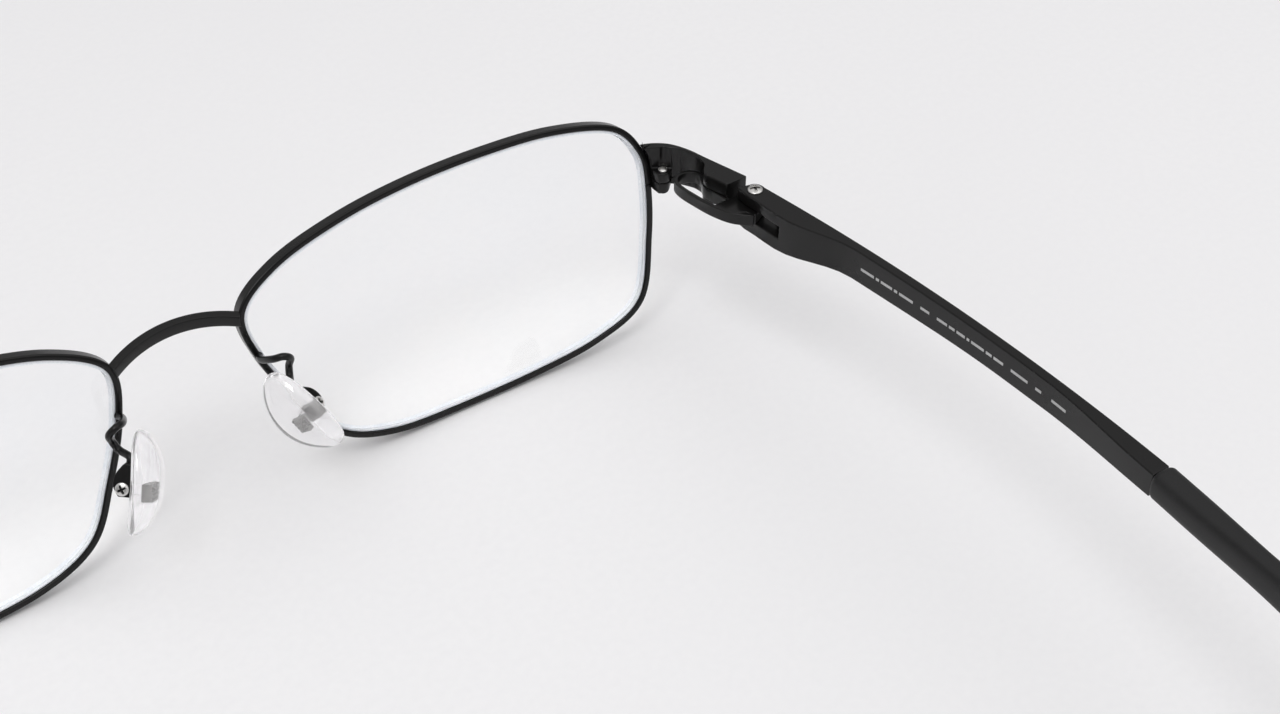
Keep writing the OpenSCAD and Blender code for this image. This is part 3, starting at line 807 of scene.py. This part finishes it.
def end_group(tree, given, output, share, rough, height):
    """Mixes the group's two colours by a share and joins up its outputs."""
    tint = add_node(tree, "ShaderNodeMix", {"data_type": "RGBA"})
    tree.links.new(share, tint.inputs["Factor"])
    tree.links.new(given["Dark"], tint.inputs[6])
    tree.links.new(given["Light"], tint.inputs[7])
    tree.links.new(tint.outputs[2], output.inputs["Color"])
    tree.links.new(rough.outputs["Result"], output.inputs["Roughness"])
    tree.links.new(height, output.inputs["Height"])


@built_once("Grain")
def grain_group(name):
    """Fine grain with a slow cloudiness: paint, moulded plastic and silicone all use it."""
    tree, given, output = shader_group(
        name,
        [
            ("Dark", "Color", (0.01, 0.01, 0.01, 1)), ("Light", "Color", (0.03, 0.03, 0.03, 1)),
            ("Grain Scale", "Float", 4000), ("Cloud Scale", "Float", 150),
            ("Roughness Low", "Float", 0.35), ("Roughness High", "Float", 0.45),
        ],
    )
    place = tree.nodes.new("ShaderNodeTexCoord").outputs["Object"]
    grain = add_node(
        tree, "ShaderNodeTexNoise", Vector=place, Scale=given["Grain Scale"], Detail=2.0
    )
    cloud = add_node(
        tree, "ShaderNodeTexNoise", Vector=place, Scale=given["Cloud Scale"], Detail=3.0
    )
    both = math_node(tree, "MULTIPLY", grain.outputs["Fac"], cloud.outputs["Fac"])
    spread = add_node(tree, "ShaderNodeMapRange", Value=both, From_Min=0.12, From_Max=0.42)
    rough = add_node(
        tree, "ShaderNodeMapRange", Value=cloud.outputs["Fac"], From_Min=0.3, From_Max=0.7,
        To_Min=given["Roughness Low"], To_Max=given["Roughness High"],
    )
    end_group(tree, given, output, spread.outputs["Result"], rough, grain.outputs["Fac"])
    return tree


@built_once("Scratches")
def scratch_group(name):
    """Short turned scratches of machined steel."""
    tree, given, output = shader_group(
        name,
        [
            ("Dark", "Color", (0.4, 0.4, 0.4, 1)), ("Light", "Color", (0.8, 0.8, 0.8, 1)),
            ("Scale", "Float", 3000), ("Stretch", "Vector", (1, 0.15, 1)),
        ],
    )
    place = tree.nodes.new("ShaderNodeTexCoord").outputs["Object"]
    drawn = math_node(tree, "MULTIPLY", place, given["Stretch"], kind="ShaderNodeVectorMath")
    noise = add_node(tree, "ShaderNodeTexNoise", Vector=drawn, Scale=given["Scale"], Detail=4.0)
    streaks = noise.outputs["Fac"]
    rough = add_node(tree, "ShaderNodeMapRange", Value=streaks, To_Min=0.18, To_Max=0.4)
    end_group(tree, given, output, streaks, rough, streaks)
    return tree


# Each finish: its group, its dark and light colours, the group's other inputs in order, the
# bump's strength and distance in millimetres, and the shader's own settings. A colour from the
# panel stands as its name with a dark and a light share.
FINISHES = {
    "Satin black paint": (
        grain_group, ("paint_colour", 0.7, 1.3), (9000, 150, 0.26, 0.34), (0.1, 0.01),
        {"Specular IOR Level": 0.18, "Coat Weight": 0.22, "Coat Roughness": 0.1},
    ),
    "Moulded black tip": (
        grain_group, ("tip_colour", 0.7, 1.3), (6000, 150, 0.5, 0.6), (0.25, 0.02),
        {"Specular IOR Level": 0.38},
    ),
    "Bright screw steel": (
        scratch_group, ("steel_colour", 0.75, 1.05), (2500, (1, 0.15, 1)), (0.2, 0.01),
        {"Metallic": 1.0},
    ),
    # Painted shade for the screws' recesses: darker, duller steel
    "Dull recess": (
        scratch_group, ((0.03, 0.028, 0.026), (0.12, 0.115, 0.11)), (6000, (1, 0.15, 1)),
        (0.2, 0.01), {"Metallic": 1.0},
    ),
    "Brushed insert steel": (
        scratch_group, ("steel_colour", 0.22, 0.6), (1500, (1, 1, 0.2)), (0.2, 0.01),
        {"Metallic": 1.0},
    ),
    "Clear lens": (
        grain_group, ((0.985, 0.992, 1), (1, 1, 1)), (300, 60, 0.0, 0.012), (0.0, 0.001),
        {"Transmission Weight": 1.0, "IOR": 1.33},
    ),
    "Ground lens edge": (
        grain_group, ((0.72, 0.76, 0.82), (0.92, 0.94, 0.97)), (5000, 300, 0.4, 0.6),
        (0.2, 0.01), {"Transmission Weight": 0.35, "IOR": 1.4},
    ),
    "Clear silicone": (
        grain_group, ((0.965, 0.96, 0.975), (0.995, 0.99, 0.995)), (1500, 250, 0.0, 0.03),
        (0.03, 0.01),
        {"Transmission Weight": 0.9, "IOR": 1.3, "Coat Weight": 0.6, "Coat Roughness": 0.03},
    ),
    "Pale print": (
        grain_group, ("print_colour", 0.85, 1.05), (7000, 150, 0.5, 0.6), (0.1, 0.005), {}
    ),
    "Pale paper": (
        grain_group, ((0.855, 0.85, 0.86), (0.875, 0.87, 0.878)), (900, 12, 0.85, 0.95),
        (0.02, 0.01), {"Specular IOR Level": 0.2},
    ),
}
# These let lamps shine through them, in this tint
SHINE_THROUGH = ("Clear lens", "Clear silicone")
SHADOW_TINT = (0.955, 0.95, 0.93, 1)


def material_for(name):
    """A finish's material, whose colour, roughness and bump come from its group."""
    if name in bpy.data.materials:
        return bpy.data.materials[name]
    group, colours, values, bump, settings = FINISHES[name]
    if isinstance(colours[0], str):
        label, *shares = colours
        base = getattr(bpy.context.scene.spectacles, label)
        colours = [[c * share for c in base] for share in shares]
    material = bpy.data.materials.new(name)
    material.use_nodes = True
    tree = material.node_tree
    shader = tree.nodes["Principled BSDF"]
    texture = tree.nodes.new("ShaderNodeGroup")
    texture.node_tree = group()
    given = [(*colour, 1) for colour in colours] + [*values]
    for socket, value in zip(texture.inputs, given):
        socket.default_value = value
    relief = add_node(
        tree, "ShaderNodeBump", Strength=bump[0], Distance=bump[1] * MM,
        Height=texture.outputs["Height"],
    )
    linked = {
        "Base Color": texture.outputs["Color"], "Roughness": texture.outputs["Roughness"],
        "Normal": relief.outputs["Normal"],
    }
    for label, value in {**linked, **settings}.items():
        plug(tree, shader.inputs[label], value)
    if name in SHINE_THROUGH:
        clear_through_shadow(tree, shader)
    return material


def clear_through_shadow(tree, shader):
    """Lets lamps shine through a clear material instead of casting a black shadow."""
    path = tree.nodes.new("ShaderNodeLightPath")
    clear = add_node(tree, "ShaderNodeBsdfTransparent", Color=SHADOW_TINT)
    mix = add_node(tree, "ShaderNodeMixShader", Fac=path.outputs["Is Shadow Ray"])
    tree.links.new(shader.outputs["BSDF"], mix.inputs[1])
    tree.links.new(clear.outputs["BSDF"], mix.inputs[2])
    tree.links.new(mix.outputs["Shader"], tree.nodes["Material Output"].inputs["Surface"])


# --- Sizes and colours ---


class SpectacleSettings(bpy.types.PropertyGroup):
    """Sizes and colours that a user would change"""

    rim_width: FloatProperty(
        name="Rim width", description="Width of the rim wire across the lens plane",
        default=0.8 * MM, min=0.5 * MM, max=2 * MM, unit="LENGTH", precision=5,
    )
    rim_depth: FloatProperty(
        name="Rim depth", description="Depth of the rim wire, front to back",
        default=1.8 * MM, min=1 * MM, max=3 * MM, unit="LENGTH", precision=5,
    )
    rim_corner: FloatProperty(
        name="Rim corner", description="Radius of the rim wire's edges",
        default=0.2 * MM, min=0.05 * MM, max=0.4 * MM, unit="LENGTH", precision=5,
    )
    bridge_height: FloatProperty(
        name="Bridge height", description="Height of the bridge bar",
        default=1.7 * MM, min=1 * MM, max=3 * MM, unit="LENGTH", precision=5,
    )
    bridge_depth: FloatProperty(
        name="Bridge depth", description="Depth of the bridge bar",
        default=1.15 * MM, min=0.8 * MM, max=2 * MM, unit="LENGTH", precision=5,
    )
    lens_radius: FloatProperty(
        name="Lens radius", description="Radius of the lens curve",
        default=122 * MM, min=80 * MM, max=300 * MM, unit="LENGTH", precision=5,
    )
    lens_thickness: FloatProperty(
        name="Lens thickness", description="Thickness of a lens",
        default=1.8 * MM, min=1 * MM, max=3 * MM, unit="LENGTH", precision=5,
    )
    lens_chamfer: FloatProperty(
        name="Lens chamfer", description="Width of the ground chamfer round a lens",
        default=0.3 * MM, min=0.1 * MM, max=0.6 * MM, unit="LENGTH", precision=5,
    )
    pad_length: FloatProperty(
        name="Pad length", description="Length of a nose pad",
        default=12.4 * MM, min=8 * MM, max=16 * MM, unit="LENGTH", precision=5,
    )
    pad_width: FloatProperty(
        name="Pad width", description="Width of a nose pad",
        default=8 * MM, min=5 * MM, max=10 * MM, unit="LENGTH", precision=5,
    )
    pad_thickness: FloatProperty(
        name="Pad thickness", description="Thickness of a nose pad",
        default=2.7 * MM, min=1 * MM, max=4 * MM, unit="LENGTH", precision=5,
    )
    tip_width: FloatProperty(
        name="Tip width", description="Thickness of a plastic tip",
        default=3.6 * MM, min=2 * MM, max=6 * MM, unit="LENGTH", precision=5,
    )
    tip_height: FloatProperty(
        name="Tip height", description="Height of a plastic tip",
        default=4.2 * MM, min=3 * MM, max=8 * MM, unit="LENGTH", precision=5,
    )
    tip_drop: FloatProperty(
        name="Tip drop", description="Angle at which a tip drops behind the ear",
        default=math.radians(37.2), min=math.radians(10), max=math.radians(60), subtype="ANGLE",
    )
    tip_sides: IntProperty(
        name="Tip sides", description="Number of faces round a temple tip", default=40, min=12,
        max=96,
    )
    paint_colour: FloatVectorProperty(
        name="Paint", description="Colour of the satin paint",
        default=(0.0045, 0.0042, 0.0042), min=0, max=1, subtype="COLOR",
    )
    tip_colour: FloatVectorProperty(
        name="Tips", description="Colour of the plastic tips",
        default=(0.009, 0.0088, 0.0092), min=0, max=1, subtype="COLOR",
    )
    steel_colour: FloatVectorProperty(
        name="Steel", description="Colour of the screws and inserts",
        default=(0.72, 0.71, 0.69), min=0, max=1, subtype="COLOR",
    )
    print_colour: FloatVectorProperty(
        name="Print", description="Colour of the pale marks on the temple",
        default=(0.5, 0.5, 0.5), min=0, max=1, subtype="COLOR",
    )


def panel_sizes():
    """The panel's values by name, with the lengths in millimetres."""
    settings = bpy.context.scene.spectacles
    values = {}
    for label in SpectacleSettings.__annotations__:
        value = getattr(settings, label)
        is_length = settings.bl_rna.properties[label].unit == "LENGTH"
        values[label] = value / MM if is_length else value
    return SimpleNamespace(**values)


# --- Operators ---


class SPECTACLES_OT_rims(bpy.types.Operator):
    """Sweeps the two rims round their lenses"""

    bl_idname = "spectacles.rims"
    bl_label = "Rims"

    def execute(self, context):
        sizes = panel_sizes()
        to_front = lens_matrix()
        points, outward = outline_curve()
        start = (points[1] - points[0]).normalized() * RIM_SPLIT / 2
        end = (points[-1] - points[0]).normalized() * RIM_SPLIT / 2
        line = [points[0] + start, *points[1:], points[0] + end]
        outs = [*outward, outward[0]]
        for side in SIDES:
            path, sides = [], []
            for p, out in zip(line, outs):
                depth = sag(p - out * sizes.rim_width / 2, sizes.lens_radius)
                here = to_front @ Vector((p[0], depth, p[1]))
                there = to_front @ Vector((p[0] + out[0], depth, p[1] + out[1]))
                path.append(placed(here, side))
                sides.append((placed(there, side) - placed(here, side)).normalized())
            rim = swept_bar(
                f"{side}_rim_wire", path, sides, sizes.rim_width, sizes.rim_depth,
                sizes.rim_corner, material_for("Satin black paint"),
            )
            mount(rim, "front", "frame_black", f"{side}_rim")
        return {"FINISHED"}


class SPECTACLES_OT_bridge(bpy.types.Operator):
    """Sweeps the bridge between the two rims"""

    bl_idname = "spectacles.bridge"
    bl_label = "Bridge"

    def execute(self, context):
        sizes = panel_sizes()
        bow_r = (BRIDGE_REACH**2 + BRIDGE_BOW**2) / (2 * BRIDGE_BOW)
        arch_r = (BRIDGE_REACH**2 + BRIDGE_RISE**2) / (2 * BRIDGE_RISE)
        path = []
        for i in range(BRIDGE_SPANS + 1):
            x = BRIDGE_REACH * (2 * i / BRIDGE_SPANS - 1)
            y = BRIDGE_END_Y - BRIDGE_BOW + bow_r - math.sqrt(bow_r**2 - x * x)
            z = BRIDGE_END_Z + BRIDGE_RISE - arch_r + math.sqrt(arch_r**2 - x * x)
            path.append(placed((x, y, z), "left"))
        bridge = swept_bar(
            "bridge_bar", path, [Vector((0, 0, 1))] * len(path), sizes.bridge_height,
            sizes.bridge_depth, BRIDGE_CORNER, material_for("Satin black paint"),
        )
        mount(bridge, "front", "frame_black", "bridge")
        return {"FINISHED"}


class SPECTACLES_OT_lenses(bpy.types.Operator):
    """Builds the lenses: two polished curves and a ground chamfer round the edge"""

    bl_idname = "spectacles.lenses"
    bl_label = "Lenses"

    def execute(self, context):
        sizes = panel_sizes()
        to_front = lens_matrix()
        points, outward = outline_curve()
        inset = sizes.rim_width / 2 + LENS_GAP
        chamfer = sizes.lens_chamfer
        front_r = sizes.lens_radius + sizes.lens_thickness / 2
        rear_r = sizes.lens_radius - sizes.lens_thickness / 2

        def ring(distance, share, radius, shift, side):
            made = []
            for p, out in zip(points, outward):
                q = (p - out * distance) * share
                depth = sizes.lens_radius - radius + sag(q, radius) + shift
                made.append(placed(to_front @ Vector((q[0], depth, q[1])), side))
            return made

        for side in SIDES:
            rings = [ring(inset + chamfer, s, front_r, 0, side) for s in reversed(LENS_SHARES)]
            rings.append(ring(inset, 1, front_r, chamfer, side))
            rings.append(ring(inset, 1, rear_r, -chamfer, side))
            rings += [ring(inset + chamfer, s, rear_r, 0, side) for s in LENS_SHARES]
            lens = new_object(f"{side}_lens_glass", *loft(rings))
            set_material(lens, material_for("Clear lens"))
            lens.data.materials.append(material_for("Ground lens edge"))
            count = len(points)
            first = (len(LENS_SHARES) - 1) * count
            for face in lens.data.polygons[first : first + 3 * count]:
                face.material_index = 1
            face_outwards(lens)
            lens.data.shade_smooth()
            lens.data.set_sharp_from_angle(angle=LENS_SHARP_ANGLE)
            mount(lens, "front", "lens_clear", f"{side}_lens")
        return {"FINISHED"}


class SPECTACLES_OT_front_metal(bpy.types.Operator):
    """Rounds the endpieces, closing blocks, leaf springs and pad arms"""

    bl_idname = "spectacles.front_metal"
    bl_label = "Endpieces, springs and pad arms"

    def execute(self, context):
        paint = material_for("Satin black paint")
        for side in SIDES:
            for node, (name, width, slot) in FRONT_PIECES.items():
                piece = rounded_copy(side, node, name, width, paint)
                mount(piece, "front", slot, f"{side}_{node}")
            mount(pad_arm(side), "front", "frame_black", f"{side}_pad_arm")
        return {"FINISHED"}


class SPECTACLES_OT_screws(bpy.types.Operator):
    """Makes the screws of the rims, the nose pads and the hinges"""

    bl_idname = "spectacles.screws"
    bl_label = "Screws"

    def execute(self, context):
        pad = pad_matrix()
        head = pad @ Vector((0, PAD_BOX_HALF, 0))
        lean = pad.to_3x3() @ Vector((0, 1, 0))
        upright = Vector((0, 0, 1))
        for side, sign in SIDES.items():
            pad_axis = Vector((sign * lean[0], lean[1], lean[2]))
            for node, name, body, place, axis, sizes in (
                ("rim_screw", "rim_lock_screw", "front", (*BARREL, BARREL_TOP_Z), upright,
                 RIM_SCREW),
                ("pad_screw", "pad_lock_screw", "front", head, pad_axis, PAD_SCREW),
                ("hinge_screw", "hinge_pin", f"{side}_arm", (*HINGE, TEMPLE_TOP_Z), upright,
                 HINGE_SCREW),
            ):
                turn = sign * math.radians(SLOT_TURN_DEG)
                piece = screw(f"{side}_{name}", placed(place, side), axis, turn, sizes)
                mount(piece, body, "screw_steel", f"{side}_{node}")
        return {"FINISHED"}


class SPECTACLES_OT_temples(bpy.types.Operator):
    """Rounds the metal temples and prints a row of plain dashes inside the right one"""

    bl_idname = "spectacles.temples"
    bl_label = "Temples"

    def execute(self, context):
        for side in SIDES:
            paint = material_for("Satin black paint")
            temple = rounded_copy(side, "temple", "temple_bar", TEMPLE_EDGE, paint)
            mount(temple, f"{side}_arm", "temple_black", f"{side}_temple")
        points, lengths, turns = [], [], []
        y = DASH_START_Y
        for group in DASH_GROUPS:
            for length in group:
                here = inner_face(y + length / 2, 0)
                ahead = inner_face(y + length, 0) - inner_face(y, 0)
                points.append(placed(here, "right"))
                lengths.append(length * MM)
                turns.append((math.atan2(ahead[2], ahead[1]), 0, math.atan2(ahead[0], ahead[1])))
                y += length + DASH_GAP
            y += DASH_GROUP_GAP
        dashes = new_object("right_temple_dashes", points, [])
        set_attribute(dashes, "bar_length", "FLOAT", "value", lengths)
        turns = [x for turn in turns for x in turn]
        set_attribute(dashes, "bar_turn", "FLOAT_VECTOR", "vector", turns)
        values = {
            "Height": DASH_HEIGHT * MM, "Thickness": DASH_THICKNESS * MM,
            "Material": material_for("Pale print"),
        }
        run_tree(dashes, print_tree(), values)
        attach(dashes, "right_arm")
        return {"FINISHED"}


class SPECTACLES_OT_tips(bpy.types.Operator):
    """Lofts the plastic tips with softly squared sections"""

    bl_idname = "spectacles.tips"
    bl_label = "Temple tips"

    def execute(self, context):
        sizes = panel_sizes()
        bend = sizes.tip_drop
        metal_length = METAL_END_Y - HINGE[1]
        straight = TIP_CORNER - metal_length - TIP_BEND_R * math.tan(bend / 2)
        arc = TIP_BEND_R * bend
        total = TEMPLE_LENGTH - metal_length
        inward, rise = math.tan(math.radians(TIP_INWARD_DEG)), math.tan(math.radians(TIP_RISE_DEG))
        start_x = temple_outer_x(METAL_END_Y) - temple_thickness(METAL_END_Y) / 2
        core_z = temple_top(METAL_END_Y) - temple_height(METAL_END_Y) / 2
        start_z = core_z + TIP_ABOVE_CORE
        stations = [*TIP_END_STEPS]
        inner = total - 2 * TIP_INNER
        stations += [TIP_INNER + inner * i / TIP_SPANS for i in range(TIP_SPANS + 1)]
        stations += [total - s for s in reversed(TIP_END_STEPS)]

        def line(s):
            turn = min(max((s - straight) / TIP_BEND_R, 0), bend)
            flat, past = min(s, straight), max(s - straight - arc, 0)
            y = METAL_END_Y + TIP_GAP + flat + TIP_BEND_R * math.sin(turn) + past * math.cos(turn)
            z = start_z + flat * rise - TIP_BEND_R * (1 - math.cos(turn)) - past * math.sin(turn)
            return Vector((start_x - inward * (y - METAL_END_Y - TIP_GAP), y, z))

        path = [line(s) for s in stations]
        frames = path_frames(path)
        for side in SIDES:
            rings = []
            for s, middle, (across, up) in zip(stations, path, frames):
                cap = tip_cap(s, total)
                half_w = sizes.tip_width / 2 * cap * (1 + change_by(s, *TIP_WIDTH_CHANGE))
                half_h = sizes.tip_height / 2 * cap * (1 + change_by(s, *TIP_HEIGHT_CHANGE))
                ring = []
                for k in range(sizes.tip_sides):
                    angle = 2 * math.pi * k / sizes.tip_sides
                    c, d = math.cos(angle), math.sin(angle)
                    wide = math.copysign(abs(c) ** TIP_SQUARE, c) * half_w
                    high = math.copysign(abs(d) ** TIP_SQUARE, d) * half_h
                    ring.append(placed(middle + across * wide + up * high, side))
                rings.append(ring)
            tip = lofted(f"{side}_ear_tip", rings, material_for("Moulded black tip"))
            smooth(tip, TIP_SHARP_ANGLE)
            mount(tip, f"{side}_arm", "tip_plastic", f"{side}_temple_tip")
        return {"FINISHED"}


class SPECTACLES_OT_nose_pads(bpy.types.Operator):
    """Builds the clear silicone nose pads and their steel inserts"""

    bl_idname = "spectacles.nose_pads"
    bl_label = "Nose pads"

    def execute(self, context):
        sizes = panel_sizes()
        to_front = pad_matrix()
        profile = open_curve(PAD_PROFILE, 3)
        for side in SIDES:
            rings = []
            for layer in profile:
                ring = []
                for k in range(PAD_SIDES):
                    angle = 2 * math.pi * k / PAD_SIDES
                    along = layer[1] * math.sin(angle)
                    point = Vector((
                        PAD_BACK_X - sizes.pad_thickness * layer[0] + PAD_BOW * along * along,
                        sizes.pad_width / 2 * layer[1] * (1 - PAD_TAPER * math.sin(angle))
                        * math.cos(angle),
                        PAD_MID_Z + sizes.pad_length / 2 * along,
                    ))
                    ring.append(placed(to_front @ point, side))
                rings.append(ring)
            pad = lofted(f"{side}_soft_pad", rings, material_for("Clear silicone"))
            pad.data.shade_smooth()
            mount(pad, f"{side}_pad", "pad_silicone", f"{side}_nose_pad")
            steel = material_for("Brushed insert steel")
            insert = rounded_copy(side, "pad_insert", "ribbed_insert", INSERT_EDGE, steel, 2)
            insert.data.materials.append(material_for("Clear silicone"))
            to_pad = to_front.inverted()
            for face in insert.data.polygons:
                middle = face.center / MM
                middle = to_pad @ Vector((SIDES[side] * middle[0], middle[1] + ORIGIN_Y, middle[2]))
                if middle[0] > INSERT_NECK_X:
                    face.material_index = 1
            mount(insert, f"{side}_pad", "insert_steel", f"{side}_pad_insert")
        return {"FINISHED"}


class SPECTACLES_OT_stage(bpy.types.Operator):
    """Sets the floor, the lamps, the world and the camera"""

    bl_idname = "spectacles.stage"
    bl_label = "Stage"

    def execute(self, context):
        scene = context.scene
        corners = ((-1, -1), (1, -1), (1, 1), (-1, 1))
        floor = new_object(
            "floor", [(FLOOR_HALF * x, FLOOR_HALF * y, FLOOR_Z) for x, y in corners], [(0, 1, 2, 3)]
        )
        set_material(floor, material_for("Pale paper"))
        set_world(scene)
        for name, facts in LAMPS.items():
            add_lamp(name, *facts)
        camera = bpy.data.cameras.new("Camera")
        camera.lens = CAMERA_LENS
        camera.clip_start, camera.clip_end = CAMERA_CLIP
        holder = linked_object("Camera", camera)
        right, up = Vector(CAMERA_RIGHT).normalized(), Vector(CAMERA_UP).normalized()
        turn = Matrix((right, up, right.cross(up))).transposed().to_4x4()
        holder.matrix_world = Matrix.Translation(CAMERA_PLACE) @ turn
        scene.camera = holder
        scene.view_settings.view_transform = "Standard"
        return {"FINISHED"}


def set_world(scene):
    """A pale room: brighter overhead than at the horizon, plain pale to the camera."""
    world = bpy.data.worlds.new("Room")
    world.use_nodes = True
    scene.world = world
    tree = world.node_tree
    background = tree.nodes["Background"]
    place = tree.nodes.new("ShaderNodeTexCoord")
    parts = add_node(tree, "ShaderNodeSeparateXYZ", Vector=place.outputs["Generated"])
    height = add_node(tree, "ShaderNodeMapRange", Value=parts.outputs["Z"], **SKY_RANGE)
    path = tree.nodes.new("ShaderNodeLightPath")
    pick = add_node(tree, "ShaderNodeMix", {"data_type": "FLOAT"})
    seen = math_node(
        tree, "MAXIMUM", path.outputs["Is Camera Ray"], path.outputs["Is Transmission Ray"]
    )
    tree.links.new(seen, pick.inputs[0])
    tree.links.new(height.outputs["Result"], pick.inputs[2])
    pick.inputs[3].default_value = BACKDROP_STRENGTH
    tree.links.new(pick.outputs[0], background.inputs["Strength"])
    background.inputs["Color"].default_value = SKY_COLOUR


def add_lamp(name, direction, distance, size, power):
    """A soft square lamp that shines on the middle of the spectacles from a direction."""
    lamp = bpy.data.lights.new(name, "AREA")
    lamp.shape = "SQUARE"
    lamp.size = size
    lamp.energy = power
    holder = linked_object(name, lamp)
    away = Vector(direction).normalized()
    turn = away.to_track_quat("Z", "Y").to_matrix().to_4x4()
    holder.matrix_world = Matrix.Translation(Vector(LAMP_TARGET) + away * distance) @ turn


class SPECTACLES_PT_panel(bpy.types.Panel):
    """Lists the operators and the sizes"""

    bl_label = "Spectacles"
    bl_space_type = "VIEW_3D"
    bl_region_type = "UI"
    bl_category = "Spectacles"

    def draw(self, context):
        for operator in OPERATORS:
            self.layout.operator(operator.bl_idname)
        for label in SpectacleSettings.__annotations__:
            self.layout.prop(context.scene.spectacles, label)


OPERATORS = (
    SPECTACLES_OT_rims,
    SPECTACLES_OT_bridge,
    SPECTACLES_OT_lenses,
    SPECTACLES_OT_front_metal,
    SPECTACLES_OT_screws,
    SPECTACLES_OT_temples,
    SPECTACLES_OT_tips,
    SPECTACLES_OT_nose_pads,
    SPECTACLES_OT_stage,
)
CLASSES = (SpectacleSettings, *OPERATORS, SPECTACLES_PT_panel)


def register():
    for cls in CLASSES:
        bpy.utils.register_class(cls)
    bpy.types.Scene.spectacles = PointerProperty(type=SpectacleSettings)


def unregister():
    del bpy.types.Scene.spectacles
    for cls in reversed(CLASSES):
        bpy.utils.unregister_class(cls)


def main():
    register()
    bpy.ops.spectacles.rims()
    bpy.ops.spectacles.bridge()
    bpy.ops.spectacles.lenses()
    bpy.ops.spectacles.front_metal()
    bpy.ops.spectacles.screws()
    bpy.ops.spectacles.temples()
    bpy.ops.spectacles.tips()
    bpy.ops.spectacles.nose_pads()
    bpy.ops.spectacles.stage()


if __name__ == "__main__":
    main()
